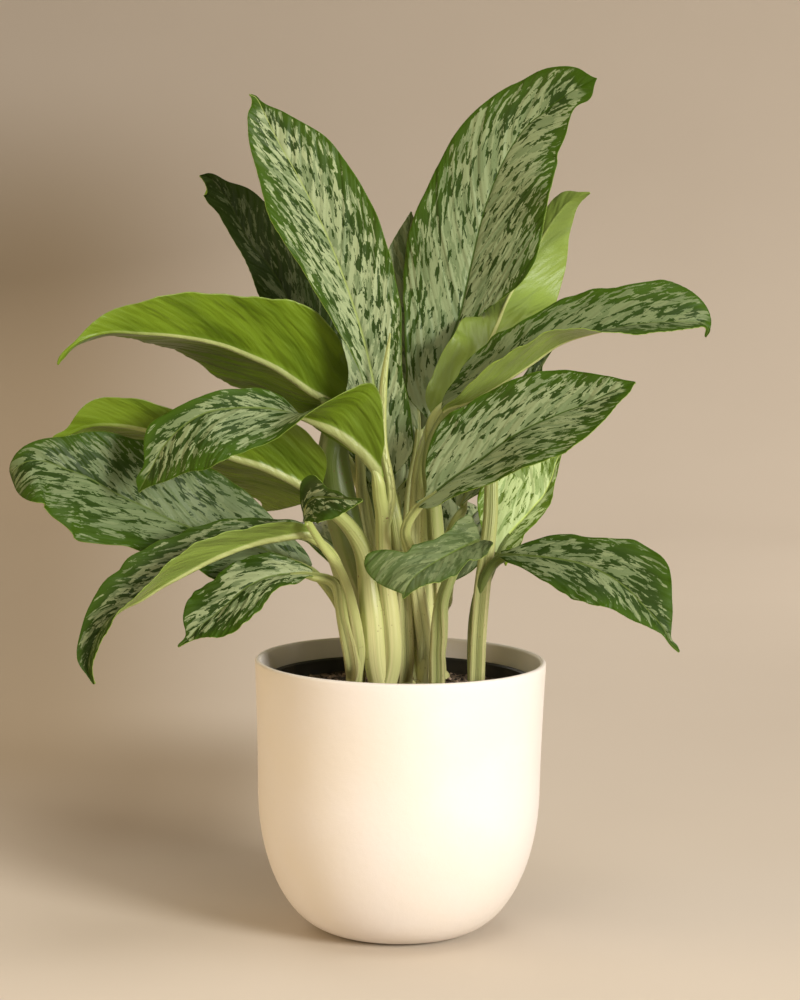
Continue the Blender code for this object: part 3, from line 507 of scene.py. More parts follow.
@dataclass(frozen=True)
class LeafUnderFinish:
    """The plain underside of a leaf, with its pale keel and faint side veins."""

    deep: Colour = (0.085, 0.140, 0.005)
    plain: Coat = Coat((0.165, 0.255, 0.014), (0.30, 0.62))
    pale: Coat = Coat((0.260, 0.330, 0.095))
    vein: Coat = Coat((0.215, 0.300, 0.050), (0.52, 0.75), 0.22)
    keel: Coat = Coat((0.430, 0.470, 0.180))
    rim: Coat = Coat((0.215, 0.300, 0.050), (0.975, 0.99))
    shade: Coat = Coat((0.030, 0.058, 0.003))
    line_grain: Grain = Grain(300.0, 10.0)
    cloud_grain: Grain = Grain(24.0, 30.0)
    quilt_grain: Grain = Grain(48.0, 55.0)
    keel_width: Span = (1.15, 0.85)
    keel_reach: Span = (0.90, 0.55)

    def material(self, name: str) -> Finish:
        """Return the material under the given name."""
        recipe = Recipe(name)
        edge, share, dark = recipe.own("leaf_share")
        _, _, under_pale = recipe.own("leaf_tone")
        rib_place, _, _ = recipe.own("leaf_rib")
        run = vein_run(recipe)
        lines, clouds, quilt = (grain.read(recipe, run) for grain in
                                (self.line_grain, self.cloud_grain, self.quilt_grain))
        keel = recipe.times(recipe.rise(rib_place, *self.keel_width),
                            recipe.rise(share, *self.keel_reach))
        # The dark value of each half lays painted shade on the underside.
        colour = recipe.coats(
            self.deep, (clouds, self.plain), (under_pale, self.pale), (lines, self.vein),
            (keel, self.keel), (edge, self.rim), (dark, self.shade))
        skin = recipe.noise(recipe.where(), scale=1200.0)
        recipe.relief(0.0040, (lines, 0.06), (skin, 0.04), (quilt, 0.9))
        return recipe.surface(colour, roughness=0.36, specular=0.25)


@dataclass(frozen=True)
class StalkFinish:
    """Pale leaf stalks: cream with greener streaks, papery wing edges and small brown specks, with
    painted shade in the groove, dark green that is partly painted shade, and painted light that
    makes some stalks paler.
    """

    cream: Colour = (0.600, 0.570, 0.270)
    green: Coat = Coat((0.270, 0.340, 0.080))
    streak: Coat = Coat((0.270, 0.340, 0.080), (0.42, 0.66), 0.42)
    # Painted shade in the groove.
    groove_shade: Coat = Coat((0.130, 0.160, 0.030), share=0.4)
    # Dark green: partly the stalk's own colour and partly painted shade.
    dark_green: Coat = Coat((0.060, 0.110, 0.010))
    # Painted light: pale cream laid on stalks that stand in shade.
    pale: Coat = Coat((0.820, 0.850, 0.450), share=0.8)
    paper: Coat = Coat((0.480, 0.390, 0.210), share=0.6)
    speck: Coat = Coat((0.160, 0.095, 0.035), share=0.8)
    line_grain: Grain = Grain(5.5, 7.0)
    cloud_grain: Grain = Grain(4.0, 14.0, 3.0)
    speck_grain: Grain = Grain(6.0, 260.0)
    green_above: float = 0.5
    green_reach: Span = (0.3, 1.0)
    green_start: float = -0.35
    speck_size: Span = (0.20, 0.10)
    speck_rarity: Span = (0.50, 0.56)

    def material(self, name: str) -> Finish:
        """Return the material under the given name."""
        recipe = Recipe(name)
        run = recipe.own("stalk_place")
        share, groove, paper = recipe.own("stalk_share")
        green, pale, _ = recipe.own("stalk_tone")
        lines = self.line_grain.read(recipe, run)
        clouds = self.cloud_grain.read(recipe, run)
        high = recipe.times(recipe.rise(share, *self.green_reach), self.green_above)
        speck_place = self.speck_grain.place(recipe, run)
        spots = recipe.node("TexVoronoi", {"Vector": speck_place, "Scale": 1.0}, "Distance",
                            feature="F1")
        rare = recipe.noise(speck_place, scale=0.35, detail=1.0)
        speck = recipe.times(recipe.rise(spots, *self.speck_size),
                             recipe.rise(rare, *self.speck_rarity))
        colour = recipe.coats(
            self.cream, (recipe.total(high, clouds, self.green_start), self.green),
            (lines, self.streak), (groove, self.groove_shade), (green, self.dark_green),
            (pale, self.pale), (paper, self.paper), (speck, self.speck))
        recipe.relief(0.0008, (lines, 1.0))
        return recipe.surface(colour, roughness=0.36, specular=0.4)


@dataclass(frozen=True)
class GlazeFinish:
    """Matte cream glaze with a very fine tooth and soft differences of tone."""

    cream: Colour = (0.790, 0.729, 0.690)
    warm: Coat = Coat((0.780, 0.712, 0.645), (0.35, 0.7))
    spots: Coat = Coat((0.780, 0.712, 0.645), (0.6, 0.75), 0.25)

    def material(self, name: str) -> Finish:
        """Return the material under the given name."""
        recipe = Recipe(name)
        where = recipe.where()
        clouds = recipe.noise(where, scale=14.0, detail=3.0)
        fine = recipe.noise(where, scale=160.0)
        tooth = recipe.noise(where, scale=1500.0)
        recipe.relief(0.00025, (tooth, 0.3), (fine, 0.7))
        colour = recipe.coats(self.cream, (clouds, self.warm), (fine, self.spots))
        return recipe.surface(colour, recipe.scaled(fine, 0.50, 0.62), specular=0.4)


@dataclass(frozen=True)
class PlasticFinish:
    """Black moulded plastic with a satin grain and a little soil dust."""

    black: Colour = (0.012, 0.012, 0.012)
    dust: Coat = Coat((0.060, 0.048, 0.036), (0.5, 0.75), 0.6)

    def material(self, name: str) -> Finish:
        """Return the material under the given name."""
        recipe = Recipe(name)
        where = recipe.where()
        clouds = recipe.noise(where, scale=60.0, detail=4.0)
        recipe.relief(0.0002, (recipe.noise(where, scale=1300.0), 1.0))
        colour = recipe.coats(self.black, (clouds, self.dust))
        return recipe.surface(colour, recipe.scaled(clouds, 0.38, 0.60), specular=0.5)


@dataclass(frozen=True)
class SoilFinish:
    """Damp potting soil: near black, with brown fibres."""

    dark: Colour = (0.022, 0.016, 0.012)
    brown: Coat = Coat((0.230, 0.160, 0.115), (0.42, 0.62))
    fibre: Coat = Coat((0.230, 0.160, 0.115), (0.6, 0.72), 0.5)

    def material(self, name: str) -> Finish:
        """Return the material under the given name."""
        recipe = Recipe(name)
        where = recipe.where()
        clods = recipe.noise(where, scale=170.0, detail=5.0, roughness=0.65)
        fibres = recipe.noise(where, scale=620.0, detail=3.0, roughness=0.6, distortion=1.2)
        recipe.relief(0.0030, (clods, 0.6), (fibres, 0.4))
        colour = recipe.coats(self.dark, (clods, self.brown), (fibres, self.fibre))
        return recipe.surface(colour, roughness=0.92, specular=0.25)


@dataclass(frozen=True)
class CrumbFinish:
    """Loose crumbs on the soil, from black to pinkish brown."""

    dark: Colour = (0.030, 0.022, 0.017)
    pink: Coat = Coat((0.480, 0.340, 0.260))
    pit: Coat = Coat((0.030, 0.022, 0.017), (0.5, 0.8))
    dark_more: float = 1.6

    def material(self, name: str) -> Finish:
        """Return the material under the given name."""
        recipe = Recipe(name)
        tint, _, _ = recipe.own("crumb_tint")
        pits = recipe.noise(recipe.where(), scale=900.0, detail=3.0)
        recipe.relief(0.0008, (pits, 1.0))
        pinkness = recipe.reckon("POWER", tint, self.dark_more)
        colour = recipe.coats(self.dark, (pinkness, self.pink), (pits, self.pit))
        return recipe.surface(colour, roughness=0.9, specular=0.25)


@dataclass(frozen=True)
class FloorFinish:
    """A plain pale floor with hardly any grain, with painted shade behind the pot and on the left,
    darkest in a painted shadow patch left of and behind the pot.
    """

    pale: Colour = (0.62, 0.55, 0.47)
    deeper: Coat = Coat((0.59, 0.52, 0.44))
    shaded: Coat = Coat((0.360, 0.285, 0.195))
    painted_shadow: Coat = Coat((0.240, 0.180, 0.112), share=0.75)
    fan_start: float = 2.0
    fan_reach: Span = (-0.02, -0.13)
    back_reach: Span = (0.10, 0.60)
    height_reach: Span = (0.75, 0.30)
    shadow_left: float = 0.19
    shadow_width: Span = (0.20, 0.02)
    shadow_back: float = 0.42
    shadow_depth: Span = (0.42, 0.08)

    def material(self, name: str) -> Finish:
        """Return the material under the given name."""
        recipe = Recipe(name)
        where = recipe.where()
        x, y, z = recipe.split(where)
        fan = recipe.reckon("DIVIDE", x, recipe.total(y, self.fan_start))
        behind = recipe.times(recipe.rise(y, *self.back_reach), recipe.rise(z, *self.height_reach))
        off_side = recipe.reckon("ABSOLUTE", recipe.total(x, self.shadow_left))
        off_back = recipe.reckon("ABSOLUTE", recipe.less(y, self.shadow_back))
        shadow_patch = recipe.times(recipe.rise(off_side, *self.shadow_width),
                             recipe.rise(off_back, *self.shadow_depth))
        # The shaded coat is painted shade behind the pot and on the left; the darker patch is a
        # painted shadow of the pot on the floor.
        colour = recipe.coats(
            self.pale, (recipe.noise(where, scale=3.0), self.deeper),
            (recipe.times(recipe.rise(fan, *self.fan_reach), behind), self.shaded),
            (shadow_patch, self.painted_shadow))
        return recipe.surface(colour, roughness=0.85, specular=0.2)


# Pieces in general


def new_grid(columns: int, rows: int) -> tuple[Mesh, np.ndarray, np.ndarray]:
    """Start a mesh as a flat grid.

    Args:
        columns: How many faces it is wide.
        rows: How many faces it is long.

    Returns:
        The mesh, and the column and the row of each of its corners.
    """
    body = bmesh.new()
    bmesh.ops.create_grid(body, x_segments=columns, y_segments=rows, size=0.5)
    corners = np.array([vertex.co[:2] for vertex in body.verts]) + 0.5
    places = np.rint(corners * (columns, rows)).astype(int)
    return body, places[:, 0], places[:, 1]


def move_corners(corners: Iterable[bmesh.types.BMVert], places: np.ndarray) -> None:
    """Move each corner to its place."""
    for corner, place in zip(corners, places):
        corner.co = Vector(place)


def write_vectors(body: Mesh, name: str, *parts: object) -> None:
    """Keep three numbers with each corner of a mesh, for its finish to read.

    Args:
        body: The mesh.
        name: The name that the finish reads them by.
        parts: The three numbers, each of them one for all corners or one for each corner.
    """
    layer = body.verts.layers.float_vector.new(name)
    values = np.stack([np.broadcast_to(part, len(body.verts)) for part in parts], axis=1)
    for vertex, value in zip(body.verts, values):
        vertex[layer] = Vector(value)


def finished_mesh(name: str, body: Mesh, *finishes: Finish) -> bpy.types.Mesh:
    """Turn a mesh under work into a smooth finished one with its materials, and free it."""
    mesh = bpy.data.meshes.new(name)
    body.to_mesh(mesh)
    body.free()
    for finish in finishes:
        mesh.materials.append(finish)
    mesh.shade_smooth()
    return mesh


def add_object(name: str, data: bpy.types.ID) -> Piece:
    """Put an object with the given mesh, lamp or camera into the scene."""
    made = bpy.data.objects.new(name, data)
    bpy.context.scene.collection.objects.link(made)
    return made


def add_piece(name: str, body: Mesh, slot: Slot, *finishes: Finish,
              stands_for: str = "") -> Piece:
    """Turn a mesh into a piece that rides on the plant.

    Args:
        name: The piece's name.
        body: Its mesh, already in place. It is freed.
        slot: The record's slot for this kind of piece. Not used.
        finishes: Its materials, in the order of the faces' material numbers.
        stands_for: The solid that it takes the place of, if any.

    Returns:
        The new object, at the origin.
    """
    piece = add_object(name, finished_mesh(name, body, *finishes))
    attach(piece, BODY)
    if stands_for:
        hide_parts(stands_for)
    LOG.info("made %s with %d faces", name, len(piece.data.polygons))
    return piece


def turned(profile: list[tuple[float, float]], sides: int) -> Mesh:
    """Turn a profile about the upright axis.

    Args:
        profile: Corners as (radius, height), from the axis and back to it.
        sides: How many steps the turn has.

    Returns:
        A closed mesh whose faces point outwards.
    """
    body = bmesh.new()
    corners = [body.verts.new((radius, 0.0, height)) for radius, height in profile]
    edges = [body.edges.new(pair) for pair in zip(corners, corners[1:])]
    bmesh.ops.spin(body, geom=corners + edges, axis=(0, 0, 1), cent=(0, 0, 0), steps=sides,
                   angle=math.tau, use_merge=True)
    bmesh.ops.remove_doubles(body, verts=body.verts, dist=WELD)
    bmesh.ops.recalc_face_normals(body, faces=body.faces)
    return body


def tube(path: np.ndarray, above: np.ndarray, radii: np.ndarray,
         section: np.ndarray) -> tuple[Mesh, np.ndarray, np.ndarray]:
    """Sweep a shaped section along a path.

    Args:
        path: Where the section's middle runs.
        above: The direction at each row that the section's upper side faces.
        radii: The radius at each row.
        section: For each row and each step round it, the offsets sideways and upwards in radii.

    Returns:
        The mesh, still open at its seam and ends, and each corner's step round it and its row.
    """
    ahead = unit(np.gradient(path, axis=0))
    up = square_to(ahead, above)
    sideways = np.cross(ahead, up)
    body, column, row = new_grid(section.shape[1], len(path) - 1)
    offset = section[row, column % section.shape[1]] * radii[row][:, None]
    move_corners(body.verts, path[row] + offset[:, :1] * sideways[row] + offset[:, 1:] * up[row])
    return body, column, row


def finish_stalk(body: Mesh, place: tuple, share: tuple, tone: tuple = (0.0, 0.0, 0.0)) -> Mesh:
    """Write on a swept stalk what its finish reads, and close its seam and its two ends.

    Args:
        body: The open tube.
        place: For its corners the way round, the way along and the layer of its grain.
        share: The share of its height, the depth in its groove, and how papery it is.
        tone: How dark green and how pale it is.

    Returns:
        The same mesh, with its faces pointing outwards.
    """
    for name, parts in (("stalk_place", place), ("stalk_share", share), ("stalk_tone", tone)):
        write_vectors(body, name, *parts)
    bmesh.ops.remove_doubles(body, verts=body.verts, dist=FINE_WELD)
    bmesh.ops.holes_fill(body, edges=[edge for edge in body.edges if edge.is_boundary], sides=0)
    bmesh.ops.recalc_face_normals(body, faces=body.faces)
    return body


def join_meshes(parts: list[Mesh]) -> Mesh:
    """Put several meshes into one and free them."""
    whole = bmesh.new()
    for part in parts:
        held = finished_mesh("held", part)
        whole.from_mesh(held)
        bpy.data.meshes.remove(held)
    return whole


# The pots and the soil


@dataclass
class Cachepot:
    """The glazed outer pot."""

    height: float = 0.189
    radius: float = 0.100
    waist_height: float = 0.100
    waist_radius: float = 0.0972
    foot_radius: float = 0.038
    inner_foot_inset: float = 0.002
    wall: float = 0.004
    floor: float = 0.006
    belly_fullness: float = 2.2
    flare_power: float = 1.5
    foot_bevel: float = 0.0012
    foot_rise: float = 0.00024
    sides: int = 180
    rim_steps: int = 8
    belly_steps: int = 40
    flare_steps: int = 16

    def belly(self, foot: float, radius: float, foot_radius: float) -> list[tuple[float, float]]:
        """Round the lower part of a wall.

        Args:
            foot: The height of its foot.
            radius: Its radius at the waist.
            foot_radius: Its radius at the foot.

        Returns:
            Its corners as (radius, height), from the waist down.
        """
        turns = np.linspace(0.0, math.pi / 2.0, self.belly_steps + 1)
        power = 2.0 / self.belly_fullness
        across = foot_radius + (radius - foot_radius) * np.cos(turns).clip(0.0) ** power
        down = self.waist_height - (self.waist_height - foot) * np.sin(turns)
        return list(zip(across.tolist(), down.tolist()))

    def flare(self, radius: float) -> list[tuple[float, float]]:
        """Return the slightly flared upper part of a wall, from the rim down to the waist."""
        shares = np.linspace(1.0, 0.0, self.flare_steps + 1)
        across = radius + (self.radius - self.waist_radius) * shares ** self.flare_power
        down = self.waist_height + (self.height - self.wall / 2.0 - self.waist_height) * shares
        return list(zip(across.tolist(), down.tolist()))

    def profile(self) -> list[tuple[float, float]]:
        """Return the outline: inside from the middle up, over the rim, down to the foot."""
        lip = self.wall / 2.0
        inner = self.waist_radius - self.wall
        inside = self.belly(self.floor, inner, self.foot_radius - self.inner_foot_inset)[::-1]
        inside += self.flare(inner)[::-1][1:]
        turns = np.linspace(math.pi, 0.0, self.rim_steps + 1)[1:-1]
        middle = self.radius - lip
        rim = [(middle + lip * math.cos(turn), self.height - lip + lip * math.sin(turn))
               for turn in turns]
        outside = self.flare(self.waist_radius)
        outside += self.belly(0.0, self.waist_radius, self.foot_radius)[1:-1]
        foot = [(self.foot_radius, self.foot_rise), (self.foot_radius - self.foot_bevel, 0.0)]
        return [(0.0, self.floor)] + inside + rim + outside + foot + [(0.0, 0.0)]

    def build(self, finish: Finish) -> Piece:
        """Make the pot in the given finish."""
        body = turned(self.profile(), self.sides)
        return add_piece("cachepot_glazed", body, Slot.GLAZE, finish, stands_for="cachepot")


@dataclass
class NurseryPot:
    """The black plastic pot that stands in the cachepot."""

    rim_height: float = 0.176
    rim_radius: float = 0.0925
    lip: float = 0.007
    lip_step: float = 0.0018
    lip_slope: float = 0.0002
    rim_crown: float = 0.0001
    base_height: float = 0.015
    base_radius: float = 0.0612
    wall: float = 0.0013
    corner: float = 0.0012
    sides: int = 144
    sharp_angle: float = 40.0
    drain_holes: int = 6
    drain_radius: float = 0.005
    drain_ring: float = 0.042
    drill_length: float = 0.01
    drill_sides: int = 24

    def inner_radius(self, height: float) -> float:
        """Return the inner radius at a height."""
        low = self.base_radius - self.wall
        high = self.rim_radius - self.lip_step - self.wall
        start = self.base_height + self.wall
        return low + (high - low) * (height - start) / (self.rim_height - self.lip - start)

    def profile(self) -> list[tuple[float, float]]:
        """Return the outline: inside from the middle up, over the lip, down to the base."""
        lip_foot = self.rim_height - self.lip
        outer = self.rim_radius - self.lip_step
        inner = outer - self.wall
        floor = self.base_height + self.wall
        inner_base = self.base_radius - self.wall
        soft = self.corner
        return [
            (0.0, floor), (inner_base - soft, floor), (inner_base, floor + soft),
            (inner, lip_foot), (inner, self.rim_height - soft),
            (inner + soft, self.rim_height - self.rim_crown),
            (self.rim_radius - soft, self.rim_height), (self.rim_radius, self.rim_height - soft),
            (self.rim_radius, lip_foot), (outer, lip_foot - self.lip_slope),
            (self.base_radius, self.base_height + soft),
            (self.base_radius - soft, self.base_height), (0.0, self.base_height),
        ]

    def drill(self) -> Piece:
        """Make the drills that cut the drain holes."""
        drills = bmesh.new()
        for index in range(self.drain_holes):
            turn = math.tau * index / self.drain_holes
            x, y = self.drain_ring * math.cos(turn), self.drain_ring * math.sin(turn)
            place = Matrix.Translation((x, y, self.base_height))
            bmesh.ops.create_cone(drills, cap_ends=True, segments=self.drill_sides,
                                  radius1=self.drain_radius, radius2=self.drain_radius,
                                  depth=self.drill_length, matrix=place)
        return add_object("drain_drills", finished_mesh("drain_drills", drills))

    def build(self, finish: Finish) -> Piece:
        """Make the pot with its drain holes.

        Args:
            finish: The pot's finish.

        Returns:
            The piece.
        """
        drill = self.drill()
        body = turned(self.profile(), self.sides)
        piece = add_piece("nursery_pot_moulded", body, Slot.PLASTIC, finish,
                          stands_for="nursery_pot")
        cut = piece.modifiers.new("drain", "BOOLEAN")
        cut.operation = "DIFFERENCE"
        cut.solver = "EXACT"
        cut.object = drill
        bpy.context.view_layer.update()
        seen = piece.evaluated_get(bpy.context.evaluated_depsgraph_get())
        piece.data = bpy.data.meshes.new_from_object(seen)
        piece.modifiers.clear()
        piece.data.materials.clear()
        piece.data.materials.append(finish)
        piece.data.shade_smooth()
        piece.data.set_sharp_from_angle(angle=math.radians(self.sharp_angle))
        bpy.data.objects.remove(drill)
        return piece


@dataclass(frozen=True)
class Lumps:
    """Fractal noise that lifts the soil: its scale and layer, how it falls off, and its share."""

    scale: float
    layer: float
    falloff: float
    lacunarity: float
    share: float
    octaves: int = 3

    def read(self, x: float, y: float) -> float:
        """Return the noise at a place on the soil."""
        place = Vector((x * self.scale, y * self.scale, self.layer))
        return self.share * noise.fractal(place, self.falloff, self.lacunarity, self.octaves)


@dataclass
class Soil:
    """The soil in the nursery pot, with loose crumbs on top."""

    pot: NurseryPot
    edge_height: float = 0.1655
    middle_height: float = 0.1700
    sides: int = 160
    rings: int = 56
    lump_height: float = 0.0016
    coarse_lumps: Lumps = Lumps(60.0, 1.0, 1.0, 2.0, 0.6)
    fine_lumps: Lumps = Lumps(260.0, 5.0, 0.8, 2.1, 0.35)
    edge_slack: float = 0.0001
    crumb_seed: int = 11
    crumb_count: int = 1500
    crumb_inset: float = 0.002
    smallest_crumb: float = 0.0005
    largest_crumb: float = 0.0021
    small_crumbs: float = 2.5
    crumb_length: Span = (0.7, 1.5)
    crumb_width: Span = (0.7, 1.2)
    crumb_height: Span = (0.5, 0.9)
    crumb_tilt: Span = (-0.5, 0.5)
    crumb_rise: float = 0.15

    def edge_radius(self) -> float:
        """Return how far the top reaches."""
        return self.pot.inner_radius(self.edge_height) - GAP

    def height(self, radius: float) -> float:
        """Return the height of the smooth mound at a distance from the middle."""
        share = min(radius / self.edge_radius(), 1.0)
        return self.middle_height + (self.edge_height - self.middle_height) * share ** 2

    def lumps(self, x: float, y: float) -> float:
        """Return how far the real surface stands above the smooth mound at a place."""
        return self.lump_height * (self.coarse_lumps.read(x, y) + self.fine_lumps.read(x, y))

    def build_ground(self, finish: Finish) -> Piece:
        """Make the body of soil in the given finish."""
        bottom_height = self.pot.base_height + self.pot.wall + GAP
        bottom_radius = self.pot.inner_radius(bottom_height) - self.pot.corner
        radii = np.linspace(0.0, self.edge_radius(), self.rings).tolist()
        top = [(radius, self.height(radius)) for radius in radii]
        body = turned(top + [(bottom_radius, bottom_height), (0.0, bottom_height)], self.sides)
        for vertex in body.verts:
            if vertex.co.z > self.edge_height - self.edge_slack:
                vertex.co.z += self.lumps(vertex.co.x, vertex.co.y)
        return add_piece("soil_ground", body, Slot.SOIL, finish, stands_for="soil")

    def build_crumbs(self, finish: Finish) -> Piece:
        """Scatter the loose crumbs in the given finish."""
        picks = np.random.default_rng(self.crumb_seed)
        parts = bmesh.new()
        layer = parts.verts.layers.float_vector.new("crumb_tint")
        for _ in range(self.crumb_count):
            turn = picks.uniform(0.0, math.tau)
            radius = (self.edge_radius() - self.crumb_inset) * math.sqrt(picks.uniform(0.0, 1.0))
            x, y = radius * math.cos(turn), radius * math.sin(turn)
            size = picks.uniform() ** self.small_crumbs
            size = self.smallest_crumb + (self.largest_crumb - self.smallest_crumb) * size
            spans = (self.crumb_length, self.crumb_width, self.crumb_height)
            stretch = Matrix.Diagonal((*[size * picks.uniform(*span) for span in spans], 1.0))
            spin = Matrix.Rotation(picks.uniform(0.0, math.tau), 4, "Z")
            tilt = Matrix.Rotation(picks.uniform(*self.crumb_tilt), 4, "X")
            top = self.height(radius) + self.lumps(x, y) + size * self.crumb_rise
            rest = Matrix.Translation((x, y, top))
            made = bmesh.ops.create_icosphere(parts, subdivisions=1, radius=1.0,
                                              matrix=rest @ spin @ tilt @ stretch)
            tint = Vector((float(picks.uniform(0.0, 1.0)), 0.0, 0.0))
            for vertex in made["verts"]:
                vertex[layer] = tint
        return add_piece("soil_crumbs", parts, Slot.SOIL, finish)


# The plant


@dataclass(frozen=True)
class ShootSize:
    """Where a leafy shoot stands and how thick its foot is, in millimetres."""

    x: float
    y: float
    radius: float


@dataclass(frozen=True)
class LeafSize:
    """One leaf in millimetres and degrees; tables run from the blade's base to its tip.

    The half widths of a blade's two halves are given at WIDTH_PLACES, in shares of its length. A
    wave is the height of the margin's ripples, how many there are and where they start.
    """

    shoot: str
    petiole_radius: Table
    petiole: tuple[Place, ...]
    midrib: tuple[Place, ...]
    facing: tuple[Place, ...]
    left_width: Table
    right_width: Table
    wave: Table
    left_fold: Table = (20,)
    right_fold: Table = (20,)
    left_curl: float = 0.0
    right_curl: float = 0.0


WIDTH_PLACES = (0.0, 0.04, 0.12, 0.25, 0.4, 0.55, 0.7, 0.82, 0.92, 0.97, 1.0)
OVAL_OUTLINE = (0.06, 0.35, 0.62, 0.88, 1.0, 0.97, 0.82, 0.58, 0.28, 0.11, 0.03)


def oval_leaf(widest: float, fold: float, **size: object) -> LeafSize:
    """Return a leaf with an oval blade whose halves are alike, from its greatest half width."""
    outline = tuple(widest * share for share in OVAL_OUTLINE)
    return LeafSize(left_width=outline, right_width=outline,
                    left_fold=(fold,), right_fold=(fold,), **size)


SHOOTS = {
    "stems_left": ShootSize(-30, -10, 8.5),
    "stems_centre_left": ShootSize(-12, -18, 9.5),
    "stems_centre": ShootSize(2, 3, 8.5),
    "stems_centre_right": ShootSize(18, 20, 9.5),
    "stem_front": ShootSize(25, -22, 5.8),
    "stems_right": ShootSize(52, -2, 6.0),
    "stems_back_left": ShootSize(-16, 40, 8.0),
    "stems_back_right": ShootSize(27, 45, 8.0),
}

